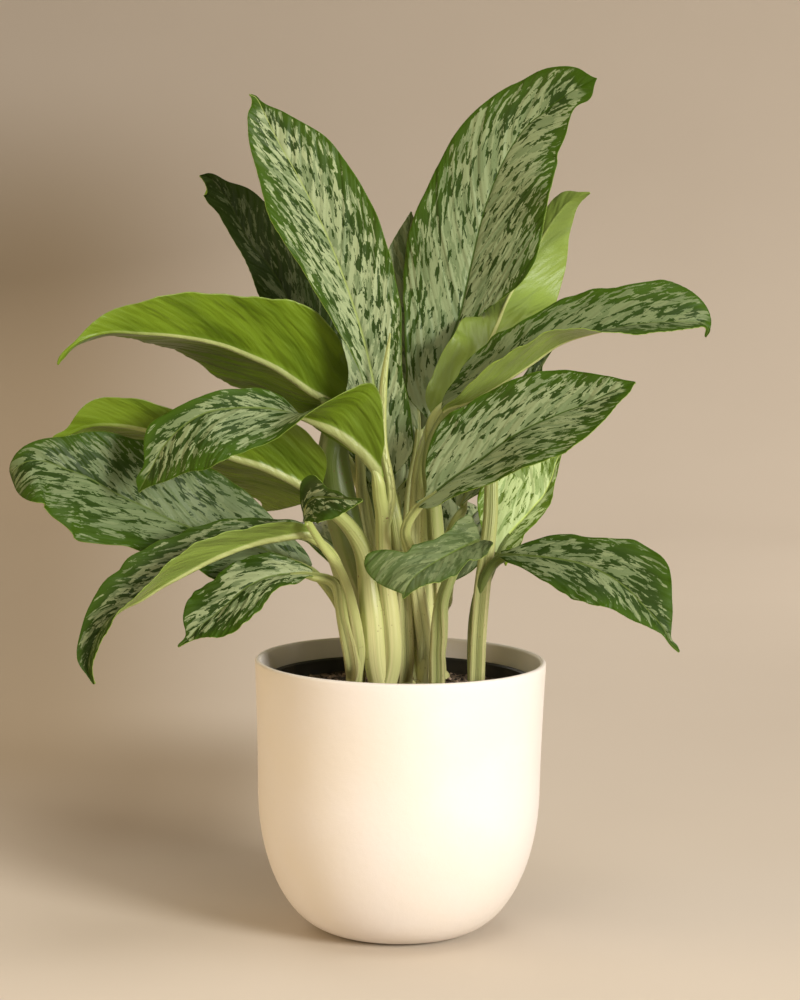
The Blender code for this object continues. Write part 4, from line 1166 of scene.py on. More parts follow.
LEAVES = {
    "leaf_tall_left": LeafSize(
        shoot="stems_centre", petiole_radius=(5.5, 5.2, 4.5),
        petiole=((3, -12, 197), (-1, -15, 259)),
        midrib=((-10, -18, 316), (-19, -13, 371), (-28, -6, 409), (-41, 1, 447), (-53, 7, 476),
                (-71, 12, 512), (-89, 14, 543), (-98, 13, 561), (-103, 11, 570), (-107, 8, 572)),
        facing=((.3, -.95, .1),),
        left_width=(2.5, 5, 8, 11, 27, 36, 41, 28, 17, 9, 1.2),
        right_width=(2.5, 16, 21, 20, 31, 35, 35, 29, 12, 1.2, 1.2),
        left_fold=(35, 35, 32, 25, 10), right_fold=(22, 20, 15, 12), wave=(2, 3, .1)),
    "leaf_tall_right": LeafSize(
        shoot="stems_centre_right", petiole_radius=(8.5, 8, 6.5, 4.5),
        petiole=((11, 4, 198), (11, -2, 268), (12, 12, 317)),
        midrib=((19, 26, 352), (26, 36, 391), (37, 44, 421), (44, 49, 453), (53, 54, 493),
                (63, 56, 522), (72, 56, 540), (83, 54, 555), (94, 51, 564), (106, 47, 574),
                (119, 43, 582), (129, 40, 587)),
        facing=((-.3, -.93, .15), (-.3, -.93, .15), (-.2, -.9, .1), (.1, -.95, -.2)),
        left_width=(2.5, 17, 24, 38, 47, 44, 38, 28, 21, 12, 1.2),
        right_width=(2.5, 1.2, 3, 8, 48, 51, 44, 31, 11, 10, 1.2),
        left_fold=(25, 20, 12, 5, 0), right_fold=(10, 14, 20, 26, 30), left_curl=-10,
        wave=(2.5, 4, .3)),
    "leaf_upright_right": LeafSize(
        shoot="stems_centre_right", petiole_radius=(8, 7.5, 4),
        petiole=((21, -4, 201), (20, -8, 285)),
        midrib=((22, -9, 356), (32, -4, 372), (44, 6, 389), (55, 16, 401), (64, 29, 419),
                (70, 42, 433), (76, 51, 444), (83, 57, 456), (93, 60, 474), (101, 60, 488),
                (112, 58, 502), (121, 55, 507), (127, 52, 509)),
        facing=((.45, .8, .3),),
        left_width=(2.5, 4, 10, 18, 27, 32, 26, 16, 8, 3, 1.2),
        right_width=(2.5, 13, 18, 23, 24, 20, 14, 10, 8, 2, 1.2),
        left_fold=(40, 40, 30, 20), right_fold=(-15, -15, -10, 5, 15, 20), wave=(2, 2.5, .5)),
    "leaf_arching_right": LeafSize(
        shoot="stems_centre_right", petiole_radius=(7, 6.5, 5.5, 3.2),
        petiole=((25, -5, 202), (22, -15, 287), (17, -21, 330)),
        midrib=((26, -26, 362), (44, -32, 370), (65, -37, 383), (85, -41, 397), (103, -45, 410),
                (129, -50, 419), (160, -54, 425), (181, -56, 426), (197, -56, 425), (200, -56, 421),
                (198, -55, 416)),
        facing=((-.5, -.35, .8), (-.3, -.35, .9), (0, -.4, .93), (0, -.5, .88), (.1, -.6, .8),
                (.3, -.6, .75)),
        left_width=(2, 12, 25, 32, 28, 32, 28, 31, 19, 1.2, 1.2),
        right_width=(1.5, 9, 20, 27, 29, 28, 24, 18, 10, 3, 1.5),
        left_fold=(45, 40, 35, 25, 25), right_fold=(45, 49, 54, 33, 20, 18), wave=(1.5, 3, .2)),
    "leaf_broad_front_right": LeafSize(
        shoot="stems_centre_right", petiole_radius=(6, 5.5, 4.5, 3),
        petiole=((17, -12, 204), (7, -32, 262), (2, -50, 286)),
        midrib=((10, -56, 302), (21, -59, 311), (34, -62, 322), (51, -66, 334), (67, -70, 347),
                (83, -74, 357), (102, -78, 366), (121, -82, 374), (138, -86, 383), (150, -88, 388)),
        facing=((-.2, -.85, .45),),
        left_width=(2.5, 1.2, 18, 35, 35, 33, 29, 21, 9, 3, 1.2),
        right_width=(2.5, 12, 17, 25, 33, 40, 38, 27, 13, 7, 1.2),
        left_fold=(15,), right_fold=(35, 30, 25), wave=(1.5, 3, .4)),
    "leaf_low_right": LeafSize(
        shoot="stems_right", petiole_radius=(4.0, 3.8, 3.4),
        petiole=((50, 0, 196), (51, 0, 224), (55, -5, 243), (61, -12, 258)),
        midrib=((67, -16, 264), (90, -26, 265), (106, -31, 264), (123, -36, 261), (140, -42, 254),
                (152, -46, 246), (159, -50, 239), (169, -54, 229), (176, -56, 220), (180, -57, 212),
                (186, -58, 206)),
        facing=((0, -.65, .75), (.1, -.7, .7), (.35, -.7, .6)),
        left_width=(2.5, 3, 9, 17, 19, 31, 28, 14, 2, 2, 1.2),
        right_width=(2.5, 7, 11, 23, 30, 29, 19, 10, 2, 1.2, 1.2),
        left_fold=(25,), right_fold=(12,), right_curl=-20, wave=(1.5, 3, .1)),
    "leaf_inner_right": LeafSize(
        shoot="stems_right", petiole_radius=(3.6, 3.4, 3),
        petiole=((52, 5, 195), (55, 10, 230)),
        midrib=((66, 16, 261), (70, 18, 269), (77, 21, 278), (84, 24, 285), (92, 27, 294),
                (98, 30, 301), (103, 33, 312), (106, 36, 322), (110, 38, 332)),
        facing=((-.1, -.95, .3),),
        left_width=(2.5, 8, 20, 34, 39, 39, 38, 34, 22, 14, 1.2),
        right_width=(2.5, 4, 12, 10, 10, 9, 4, 3, 2, 1.2, 1.2),
        left_fold=(10,), right_fold=(25,), wave=(1.5, 3, .1)),
    "leaf_hidden_right": LeafSize(
        shoot="stems_right", petiole_radius=(5, 5, 5.2, 4),
        petiole=((53, -3, 202), (55, -3, 236), (60, 0, 286)),
        midrib=((62, 8, 338), (71, 16, 355), (82, 24, 372), (89, 29, 383), (95, 32, 392),
                (102, 34, 403)),
        facing=((-.1, -.9, .4),),
        left_width=(2.5, 2, 4, 7, 8, 6, 6, 5, 3, 1.2, 1.2),
        right_width=(2.5, 4, 6, 9, 10, 10, 8, 1.2, 1.2, 1.2, 1.2),
        wave=(1, 2.5, .1)),
    "leaf_small_front": LeafSize(
        shoot="stem_front", petiole_radius=(5.0, 4.8, 4.2, 3),
        petiole=((25, -29, 200), (28, -40, 238), (40, -45, 266), (53, -50, 277)),
        midrib=((52, -61, 280), (42, -76, 278), (30, -92, 274), (17, -106, 268), (8, -114, 262),
                (3, -119, 255), (1, -122, 249)),
        facing=((0, -.45, .9), (0, -.5, .87), (-.1, -.6, .75), (-.3, -.8, .5), (-.5, -.85, .2)),
        left_width=(2.5, 10, 14, 17, 14, 18, 15, 11, 6, 3, 1.2),
        right_width=(2.5, 15, 18, 14, 14, 20, 20, 38, 24, 1.2, 1.2),
        left_fold=(10, 0, 0, 0), right_fold=(65, 35, 10, 0, 0), wave=(1, 2.5, .1)),
    "leaf_wide_upper_left": LeafSize(
        shoot="stems_centre_left", petiole_radius=(6, 8.5, 12, 9),
        petiole=((-15, -10, 204), (-36, 4, 268), (-48, 13, 322)),
        midrib=((-48, 20, 360), (-65, 12, 372), (-87, 0, 388), (-105, -10, 397), (-121, -20, 404),
                (-138, -33, 409), (-154, -46, 412), (-174, -60, 414), (-194, -72, 415),
                (-209, -80, 411), (-218, -83, 405), (-224, -84, 398), (-226, -84, 394)),
        facing=((0, .8, .6),),
        left_width=(2.5, 26, 40, 50, 46, 37, 30, 15, 1.2, 1.2, 1.2),
        right_width=(2.5, 24, 36, 43, 37, 34, 22, 20, 4, 3, 1.2),
        left_fold=(15, 10, 10, 15), right_fold=(15, 20, 35, 35), wave=(2, 3.5, .2)),
    "leaf_twisted_left": LeafSize(
        shoot="stems_centre_left", petiole_radius=(6.2, 6, 5.5, 4.5),
        petiole=((-6, -25, 195), (-12, -28, 261), (-14, -34, 303)),
        midrib=((-15, -38, 318), (-25, -44, 333), (-36, -48, 343), (-46, -52, 350), (-57, -56, 356),
                (-71, -60, 362), (-92, -65, 366), (-112, -70, 366), (-130, -75, 363),
                (-145, -79, 354), (-157, -82, 341), (-165, -84, 326), (-173, -84, 311)),
        facing=((.5, .8, .2), (.4, .88, .25), (.2, .9, .3), (0, .3, .95), (0, -.6, .8),
                (-.05, -.75, .65), (-.1, -.8, .6), (-.2, -.82, .5), (-.3, -.85, .4),
                (-.35, -.85, .35)),
        left_width=(2.5, 5, 23, 47, 32, 37, 44, 38, 17, 5, 1.2),
        right_width=(2.5, 3, 6, 8, 15, 13, 12, 16, 5, 5, 1.2),
        left_fold=(0, 5, 15), right_fold=(15,), wave=(1.5, 3, .1)),
    "leaf_wide_middle_left": LeafSize(
        shoot="stems_centre_left", petiole_radius=(7, 7.5, 6.5, 3.5),
        petiole=((-17, -25, 193), (-21, -26, 232), (-29, -20, 272)),
        midrib=((-58, -15, 303), (-69, -18, 310), (-82, -21, 317), (-95, -24, 323),
                (-114, -28, 329), (-133, -31, 337), (-153, -35, 343), (-172, -39, 348),
                (-189, -42, 351), (-208, -44, 351), (-221, -45, 346), (-228, -46, 340),
                (-231, -46, 332)),
        facing=((0, .8, .6),),
        left_width=(2.5, 23, 34, 37, 34, 19, 22, 18, 4, 6, 1.2),
        right_width=(15, 59, 54, 46, 45, 49, 52, 42, 23, 1.2, 1.2),
        left_fold=(15,), right_fold=(25,), wave=(2, 3, .6)),
    "leaf_long_lower_left": LeafSize(
        shoot="stems_left", petiole_radius=(5, 4.5, 3.5, 3),
        petiole=((-30, -8, 189), (-38, -14, 218), (-48, -22, 238)),
        midrib=((-62, -22, 254), (-79, -26, 262), (-99, -31, 270), (-126, -38, 278),
                (-151, -45, 287), (-170, -51, 297), (-190, -57, 307), (-208, -63, 318),
                (-222, -68, 324), (-238, -74, 330), (-248, -77, 329), (-256, -75, 322),
                (-257, -66, 313)),
        facing=((-.1, -.75, .65), (-.1, -.75, .65), (-.1, -.75, .65), (-.1, -.78, .6),
                (-.6, -.7, .3)),
        left_width=(2.5, 15, 28, 43, 33, 40, 52, 38, 35, 3, 1.2),
        right_width=(2.5, 10, 18, 35, 46, 43, 34, 18, 7, 2, 1.2),
        left_fold=(12,), right_fold=(20,), wave=(2, 3.5, .1)),
    "leaf_arching_lower_left": LeafSize(
        shoot="stems_left", petiole_radius=(6, 5.5, 4.5, 3),
        petiole=((-31, -20, 191), (-37, -34, 234), (-48, -50, 269)),
        midrib=((-59, -64, 282), (-83, -74, 281), (-103, -84, 277), (-124, -94, 269),
                (-140, -101, 261), (-157, -108, 252), (-170, -113, 244), (-179, -116, 240),
                (-188, -119, 233), (-195, -122, 223), (-199, -124, 213), (-201, -126, 204),
                (-200, -127, 197), (-197, -127, 191)),
        facing=((-.1, -.25, .97), (-.1, -.25, .97), (-.1, -.3, .95), (-.2, -.4, .9),
                (-.5, -.6, .6)),
        left_width=(2, 9, 17, 23, 25, 25, 22, 17, 10, 4, 1.5),
        right_width=(2.5, 9, 14, 20, 26, 27, 22, 12, 7, 1.2, 1.2),
        left_fold=(56, 52, 59, 29, 38), right_fold=(45,), wave=(1, 3, .1)),
    "leaf_small_lower_left": LeafSize(
        shoot="stems_left", petiole_radius=(5.5, 5, 4.5, 3),
        petiole=((-32, -28, 189), (-38, -44, 220), (-45, -61, 250)),
        midrib=((-59, -70, 257), (-72, -76, 258), (-89, -85, 256), (-102, -91, 250),
                (-109, -94, 244), (-123, -99, 232), (-132, -102, 225), (-138, -104, 218),
                (-145, -106, 213)),
        facing=((-.2, -.75, .6),),
        left_width=(2.5, 4, 10, 12, 20, 25, 24, 15, 3, 1.2, 1.2),
        right_width=(2.5, 5, 10, 16, 19, 18, 21, 15, 3, 1.2, 1.2),
        left_fold=(15,), right_fold=(15,), wave=(1.5, 3.5, .1)),
    "leaf_young_left": LeafSize(
        shoot="stems_left", petiole_radius=(5, 4.5, 3.5, 2.5),
        petiole=((-29, -35, 206), (-41, -63, 258)),
        midrib=((-64, -84, 292), (-64, -90, 303), (-59, -97, 310), (-48, -106, 312),
                (-37, -115, 312), (-26, -123, 312)),
        facing=((-.9, -.3, .2), (-.5, -.8, .2), (.2, -.9, .4), (.2, -.9, .4)),
        left_width=(2.5, 1.2, 1.2, 7, 15, 6, 4, 1.2, 1.2, 1.2, 1.2),
        right_width=(2.5, 1.2, 9, 14, 17, 19, 23, 17, 8, 3, 1.2),
        left_fold=(15,), right_fold=(15,), wave=(.5, 2, .1)),
    "leaf_dark_back_left": LeafSize(
        shoot="stems_back_left", petiole_radius=(6, 5, 4, 3),
        petiole=((-20, 38, 230), (-27, 37, 296)),
        midrib=((-50, 40, 343), (-70, 48, 397), (-80, 54, 428), (-93, 58, 452), (-109, 62, 471),
                (-118, 64, 487), (-123, 65, 498), (-130, 64, 507), (-137, 62, 515),
                (-144, 58, 517)),
        facing=((.3, -.9, .3),),
        left_width=(2.5, 4, 9, 12, 19, 21, 12, 13, 16, 13, 1.2),
        right_width=(2.5, 9, 18, 26, 29, 27, 30, 21, 7, 3, 1.2),
        wave=(1.5, 3, .3)),
    "leaf_slim_back": oval_leaf(
        22, 20, shoot="stems_centre_right", petiole_radius=(5.5, 5, 4, 3),
        petiole=((6, 30, 226), (5, 38, 295)),
        midrib=((11, 50, 343), (4, 60, 398), (-1, 70, 446), (3, 76, 494)),
        facing=((0, -.95, .3),), wave=(1, 2.5, .1)),
    "leaf_back_left_high": oval_leaf(
        42, 25, shoot="stems_back_left", petiole_radius=(6, 5, 3),
        petiole=((-10, 45, 220),),
        midrib=((-8, 52, 296), (-34, 88, 338), (-58, 122, 360), (-80, 152, 356), (-94, 174, 328)),
        facing=((-.3, .3, .9), (-.1, 0, 1), (-.3, .3, .9), (-.6, .6, .5)), wave=(2.5, 2.5, .1)),
    "leaf_back_high": oval_leaf(
        45, 25, shoot="stems_back_right", petiole_radius=(6, 5, 3),
        petiole=((22, 46, 230),),
        midrib=((20, 56, 320), (18, 95, 375), (18, 135, 405), (20, 175, 405), (22, 205, 380)),
        facing=((0, 0, 1), (0, .2, 1), (0, .5, .8)), wave=(2.5, 2.5, .3)),
    "leaf_back_right_high": oval_leaf(
        40, 25, shoot="stems_back_right", petiole_radius=(6, 5, 3),
        petiole=((24, 47, 215), (30, 48, 258)),
        midrib=((40, 44, 290), (62, 78, 330), (84, 112, 350), (100, 140, 350), (112, 160, 335)),
        facing=((.2, .2, .95), (.3, .2, .9), (.6, .5, .6)), wave=(2.5, 2.5, .6)),
    "leaf_back_left_low": oval_leaf(
        34, 20, shoot="stems_back_left", petiole_radius=(5, 4.5, 3),
        petiole=((-20, 46, 195),),
        midrib=((-26, 52, 230), (-50, 82, 258), (-76, 114, 262), (-98, 142, 244), (-112, 160, 214)),
        facing=((-.3, .2, .95), (-.4, .3, .9), (-.7, .5, .5)), wave=(2.5, 2.5, .8)),
    "leaf_back_right_low": oval_leaf(
        34, 20, shoot="stems_back_right", petiole_radius=(5, 4.5, 3),
        petiole=((26, 50, 198),),
        midrib=((34, 58, 235), (46, 95, 270), (58, 130, 278), (70, 162, 262), (78, 185, 230)),
        facing=((.2, .2, .95), (.2, .4, .9), (.4, .8, .5)), wave=(2.5, 2.5, .2)),
    "leaf_back_middle": oval_leaf(
        30, 20, shoot="stems_back_left", petiole_radius=(5, 4.5, 3),
        petiole=((-9, 46, 212),),
        midrib=((-6, 58, 262), (-8, 92, 306), (-6, 128, 322), (0, 160, 312), (6, 180, 284)),
        facing=((0, .2, 1), (0, .3, .95), (.1, .8, .5)), wave=(2.5, 2.5, .5)),
    "leaf_back_upright": oval_leaf(
        32, 20, shoot="stems_back_left", petiole_radius=(5.5, 5, 4, 3),
        petiole=((-18, 39, 225), (-28, 34, 292), (-30, 40, 328)),
        midrib=((-27, 54, 360), (-30, 72, 398), (-36, 94, 433), (-46, 118, 460), (-54, 146, 474)),
        facing=((0, -.6, .8), (0, -.4, .9), (0, 0, 1)), wave=(2.5, 2.5, .7)),
}


@dataclass(frozen=True)
class LeafLook:
    """How one leaf is coloured, and how thick its keel is.

    Args:
        dark: How much painted shade lies on its left and its right half above, from 0 to 1.
        cover: How much of its upper face the dark flecks take, from 0 to 1.
        grey: How far its silver turns to grey-green, from 0 to 1.
        warm: How far its upper face leans to olive, from 0 to 1.
        rib: How pale its midrib is above, from dark green at 0 to light yellow-green at 1.
        keel: How wide and deep the keel under its midrib is, where 1 is usual.
        under: How much painted shade lies on the left and the right half of its underside, from 0
            to 1.
        under_pale: How far its underside leans to pale sage, from 0 to 1.
        bold: How strongly the flecks and the margin show, from 0 to 1.
        stalk_green: How far its stalk leans to dark green, from 0 to 1; partly its own green and
            partly painted shade.
        stalk_painted_light: How much painted light turns its stalk to pale cream, from 0 to 1.
        glow: How much painted yellow-green glow, as of light shining through, is added to its upper
            face, from 0 to 1.
    """

    dark: Span = (0.0, 0.0)
    cover: float = 0.3
    grey: float = 0.0
    warm: float = 0.0
    rib: float = 0.2
    keel: float = 1.0
    under: Span = (0.0, 0.0)
    under_pale: float = 0.0
    bold: float = 0.96
    stalk_green: float = 0.0
    stalk_painted_light: float = 0.0
    glow: float = 0.0


LOOKS = {
    "leaf_tall_left": LeafLook(dark=(0.15, 0.08), cover=0.45, grey=0.2, rib=0.7),
    "leaf_tall_right": LeafLook(dark=(0.15, 0.12), cover=0.38, grey=0.5, rib=0.0, stalk_painted_light=0.7),
    "leaf_upright_right": LeafLook(warm=0.4, keel=0.45, under_pale=0.45, stalk_painted_light=0.6),
    "leaf_arching_right": LeafLook(dark=(0.1, 0.15), cover=0.38, grey=0.7, warm=0.5, keel=0.6,
                                   under_pale=0.4, stalk_green=0.45),
    "leaf_broad_front_right": LeafLook(dark=(0.08, 0.1), cover=0.35, grey=0.5, rib=0.0,
                                       stalk_painted_light=0.5),
    "leaf_low_right": LeafLook(dark=(0.15, 0.15), cover=0.85, grey=0.5, warm=0.3, stalk_green=0.8),
    "leaf_inner_right": LeafLook(cover=0.45, rib=1.0, bold=0.9, stalk_green=0.7, glow=0.8),
    "leaf_hidden_right": LeafLook(dark=(0.4, 0.4), stalk_green=0.2),
    "leaf_small_front": LeafLook(dark=(0.25, 0.0), cover=0.6, grey=0.6, warm=0.7, bold=0.5,
                                 stalk_green=0.6),
    "leaf_wide_upper_left": LeafLook(dark=(0.2, 0.3), cover=0.6, keel=0.9, under=(0.18, 0.28),
                                     stalk_green=0.8),
    "leaf_twisted_left": LeafLook(dark=(0.05, 0.05), cover=0.6, grey=0.55, warm=0.2, keel=1.5,
                                  under=(0.3, 0.3)),
    "leaf_wide_middle_left": LeafLook(cover=0.5, keel=1.1, under=(0.2, 0.2)),
    "leaf_long_lower_left": LeafLook(dark=(0.2, 0.25), cover=0.5, grey=0.75, warm=0.2, keel=1.2),
    "leaf_arching_lower_left": LeafLook(dark=(0.2, 0.3), cover=0.7, warm=0.5, keel=1.2,
                                        under=(0.15, 0.15), under_pale=0.5),
    "leaf_small_lower_left": LeafLook(dark=(0.15, 0.2), cover=0.7, warm=0.3),
    "leaf_young_left": LeafLook(dark=(0.3, 0.3), cover=1.0),
    "leaf_dark_back_left": LeafLook(dark=(0.75, 0.75), cover=0.9),
    "leaf_slim_back": LeafLook(dark=(0.0, 0.6), cover=0.1, warm=0.7, bold=0.3),
}


@dataclass(frozen=True)
class StalkSection:
    """The section of a leaf's stalk: a rounded back, and a groove between two wings.

    Where a size is a pair, the first number holds near the blade and the second is added to it in
    the sheath, which reaches from the foot to its top and fades out below it.
    """

    sides: int = 40
    sheath_top: float = 0.62
    sheath_fade: float = 0.25
    groove_depth: Span = (0.14, 0.20)
    groove_width: Span = (0.40, 0.14)
    wing_place: float = 0.82
    wing_height: float = 0.15
    wing_width: float = 0.22
    rib_height: float = 0.014
    rib_count: float = 9.0
    extra_width: float = 0.12
    crease_width: float = 0.38
    paper_width: float = 0.13

    def sheath(self, shares: np.ndarray) -> np.ndarray:
        """Return how far each row lies in the sheath, from 0 to 1."""
        return 1.0 - ease(shares, self.sheath_top - self.sheath_fade, self.sheath_top)

    def outline(self, shares: np.ndarray) -> np.ndarray:
        """Return for each row and each step round it the offsets sideways and upwards, in radii."""
        turns = np.linspace(0.0, math.tau, self.sides, endpoint=False)
        from_groove = np.abs((turns + math.pi) % math.tau - math.pi)[None, :]
        sheath = self.sheath(shares)[:, None]
        depth = self.groove_depth[0] + self.groove_depth[1] * sheath
        groove = depth * hump(from_groove, self.groove_width[0] + self.groove_width[1] * sheath)
        wing = self.wing_height * sheath * hump(from_groove - self.wing_place, self.wing_width)
        ribs = self.rib_height * sheath * np.cos(self.rib_count * turns)[None, :]
        reach = 1.0 - groove + wing + ribs
        wide = 1.0 + self.extra_width * sheath
        out, up = reach * np.sin(turns)[None, :] * wide, reach * np.cos(turns)[None, :]
        return np.stack([out, up], axis=2)

    def marks(self, around: np.ndarray, sheath: np.ndarray) -> tuple[np.ndarray, np.ndarray]:
        """Find what the finish shows at each corner of the swept stalk.

        Args:
            around: Its share of the way round, from the groove on.
            sheath: How far its row lies in the sheath.

        Returns:
            How deep in the groove it is, and how papery.
        """
        from_groove = np.minimum(around, 1.0 - around) * math.tau
        paper = hump(from_groove - self.wing_place, self.paper_width) * sheath
        return hump(from_groove, self.crease_width), paper


@dataclass
class Leaf:
    """One leaf: its blade and the stalk that carries it."""

    name: str
    size: LeafSize
    look: LeafLook
    number: int
    rows: int = 96
    half_columns: int = 18
    column_easing: float = 1.5
    last_column: float = 0.975
    row_easing: float = 0.75
    look_ahead: float = 0.02
    slimmest: float = 0.0010
    point_share: float = 0.025
    tip_width: float = 0.0002
    thickness: float = 0.0008
    margin_thickness: float = 0.0004
    margin_share: float = 0.2
    keel_widths: Table = (0.0030, 0.0008)
    keel_depths: Table = (0.0024, 0.0003)
    keel_reach: float = 4.0
    groove_depths: Table = (0.0010, 0.0002)
    groove_width: float = 0.55
    half_shift: float = 0.37
    ripple_height: float = 0.0007
    ripple_count: float = 3.1
    ripple_base: Span = (0.05, 0.3)
    ripple_tip: Span = (0.02, 0.2)
    vein_spacing: float = 0.0085
    vein_relief: float = 0.00022
    vein_lean: float = 1.05
    vein_bend: float = 11.0
    vein_start: float = 0.006
    vein_end: float = 0.1
    blade_layer: float = 7.3
    stalk_layer: float = 3.7
    section: StalkSection = StalkSection()
    stalk_rows: int = 64
    stalk_inset: float = 0.4
    stalk_rise: float = 2.8
    stalk_sunk: float = 6.0
    stalk_overlap: float = 0.016
    stalk_dip: float = 0.030
    taper_start: float = 0.004
    green_foot: float = 0.6
    green_reach: Span = (0.2, 0.6)
    painted_light_reach: Span = (0.45, 0.80)

    def foot(self, soil: Soil) -> Place:
        """Return where the stalk starts, inside the foot of its shoot, in millimetres."""
        shoot = SHOOTS[self.size.shoot]
        start = self.size.petiole[0]
        lean = np.array([start[0] - shoot.x, start[1] - shoot.y], float)
        room = max(shoot.radius - self.size.petiole_radius[0] - self.stalk_inset, 0.0)
        lean = lean * min(room / max(np.linalg.norm(lean), TINY), 1.0)
        ground = soil.height(math.hypot(shoot.x, shoot.y) * MM) / MM
        return shoot.x + lean[0], shoot.y + lean[1], ground + self.stalk_rise

    def curves(self, soil: Soil) -> tuple[np.ndarray, np.ndarray]:
        """Run one curve through stalk and blade.

        Args:
            soil: The soil that the leaf grows from.

        Returns:
            The stalk's and the blade's middle lines.
        """
        points = [self.foot(soil), *self.size.petiole, *self.size.midrib]
        curve = smooth_curve(np.array(points, float) * MM)
        base = (len(self.size.petiole) + 1) * CURVE_STEPS
        return curve[:base + 1], curve[base:]

    def row_shares(self) -> np.ndarray:
        """Return where the blade's rows lie, closer together near its base and its tip."""
        even = np.linspace(0.0, 1.0, self.rows + 1)
        eased = 0.5 - 0.5 * np.cos(np.pi * even)
        return self.row_easing * eased + (1.0 - self.row_easing) * even

    def column_shares(self) -> np.ndarray:
        """Return where the columns of one half lie, from the midrib out to the margin."""
        inner = np.linspace(0.0, 1.0, self.half_columns) ** self.column_easing * self.last_column
        return np.append(inner, 1.0)

    def half_widths(self, widths: Table, shares: np.ndarray) -> np.ndarray:
        """Return the width of one half of the blade along its length, with a pointed tip."""
        half = read_table(WIDTH_PLACES, widths, shares) * MM
        point = np.sqrt(np.clip((1.0 - shares) / self.point_share, 0.0, 1.0))
        return np.maximum(half, self.slimmest) * point + self.tip_width

    def frame_at(self, curve: np.ndarray, shares: np.ndarray) -> tuple[np.ndarray, ...]:
        """Find how the blade lies along its middle line.

        Args:
            curve: The middle line.
            shares: Where on it to look, in shares of its length.

        Returns:
            The places there, the way upwards and the way to the right.
        """
        ahead = unit(along(curve, shares + self.look_ahead)
                     - along(curve, shares - self.look_ahead))
        above = square_to(ahead, spread(self.size.facing, shares))
        return along(curve, shares), above, np.cross(ahead, above)

    def plain_face(self, curve: np.ndarray) -> tuple[np.ndarray, np.ndarray]:
        """Shape the blade's upper face, without its veins.

        Args:
            curve: The blade's middle line.

        Returns:
            The grid of points, and for each the distance from the midrib, with its side as a sign.
        """
        size, shares, steps = self.size, self.row_shares(), self.column_shares()
        path, above, sideways = self.frame_at(curve, shares)
        height, count, phase = size.wave
        middle_column = len(steps) - 1
        grid = np.zeros((len(shares), 2 * middle_column + 1, 3))
        across = np.zeros(grid.shape[:2])
        fade = ease(shares, *self.ripple_base) * ease(1.0 - shares, *self.ripple_tip)
        halves = ((-1, size.left_width, size.left_fold, size.left_curl, phase),
                  (1, size.right_width, size.right_fold, size.right_curl, phase + self.half_shift))
        for side, widths, fold, curl, start in halves:
            half = self.half_widths(widths, shares)
            swell = half / (max(widths) * MM)
            wave = height * MM * np.sin(math.tau * (count * shares + start)) * swell
            turn = self.ripple_count * count * shares + 2.0 * phase + start
            ripple = self.ripple_height * np.sin(math.tau * turn) * swell * fade
            out = np.zeros(len(shares))
            rise = np.zeros(len(shares))
            for index, step in enumerate(steps):
                if index > 0:
                    width = step - steps[index - 1]
                    angle = np.radians(spread(fold, shares) + curl * (step - 0.5 * width))
                    out = out + np.cos(angle) * width
                    rise = rise + np.sin(angle) * width
                lift = rise * half + wave * step ** 2 + ripple * step ** 4
                column = middle_column + side * index
                outwards = (side * out * half)[:, None] * sideways
                grid[:, column] = path + outwards + lift[:, None] * above
                across[:, column] = side * step * half
        return grid, across

    def relief(self, across: np.ndarray, length: float) -> np.ndarray:
        """Raise the side veins and sink the groove over the midrib.

        Args:
            across: The distance of each point from the midrib.
            length: The blade's length.

        Returns:
            How far each point of the upper face stands above its plain shape.
        """
        shares = self.row_shares()[:, None]
        away = np.abs(across)
        vein = shares * length - self.vein_lean * away - self.vein_bend * away ** 2
        fade = np.clip(away / self.vein_start, 0.0, 1.0)
        fade = fade * np.clip((1.0 - shares) / self.vein_end, 0.0, 1.0)
        veins = self.vein_relief * np.cos(math.tau * vein / self.vein_spacing) * fade
        width = spread(self.keel_widths, shares[:, 0])[:, None]
        depth = spread(self.groove_depths, shares[:, 0])[:, None]
        return veins - depth * hump(away, self.groove_width * width)

    def blade(self, curve: np.ndarray) -> Mesh:
        """Make the blade's closed mesh: upper face, underside with its keel, and margin.

        Args:
            curve: The blade's middle line.

        Returns:
            The mesh, with material 0 above and 1 below.
        """
        plain, across = self.plain_face(curve)
        look, shares, steps = self.look, self.row_shares(), self.column_shares()
        length = lengths_along(curve)[-1]
        normals = unit(np.cross(np.gradient(plain, axis=1), np.gradient(plain, axis=0)))
        top = plain + normals * self.relief(across, length)[:, :, None]
        edge = np.concatenate([steps[::-1], steps[1:]])
        away = np.abs(across)
        keel_width = spread(self.keel_widths, shares)[:, None] * look.keel
        keel_depth = spread(self.keel_depths, shares)[:, None] * look.keel
        keel = keel_depth * np.sqrt(np.clip(1.0 - (away / keel_width) ** 2, 0.0, 1.0))
        inwards = ease(1.0 - edge, 0.0, self.margin_share)
        wall = self.margin_thickness + (self.thickness - self.margin_thickness) * inwards
        bottom = plain - normals * (wall[None, :] + keel)[:, :, None]
        at_margin = edge[None, :, None] == 1.0
        bottom = np.where(at_margin, top - normals * self.margin_thickness, bottom)

        body, column, row = new_grid(len(edge) - 1, self.rows)
        move_corners(body.verts, top[row, column])
        place = across[row, column]
        rib_place = np.minimum(away / keel_width, self.keel_reach)[row, column]
        write_vectors(body, "leaf_place", place, shares[row] * length,
                      self.number * self.blade_layer)
        # The third number of leaf_share is the painted shade of each half of the upper face.
        write_vectors(body, "leaf_share", edge[column], shares[row],
                      np.where(place < 0.0, *look.dark))
        write_vectors(body, "leaf_tone", look.cover, look.warm, look.bold)
        write_vectors(body, "leaf_rib", rib_place, look.rib, look.grey)
        write_vectors(body, "leaf_glow", look.glow, 0.0, 0.0)

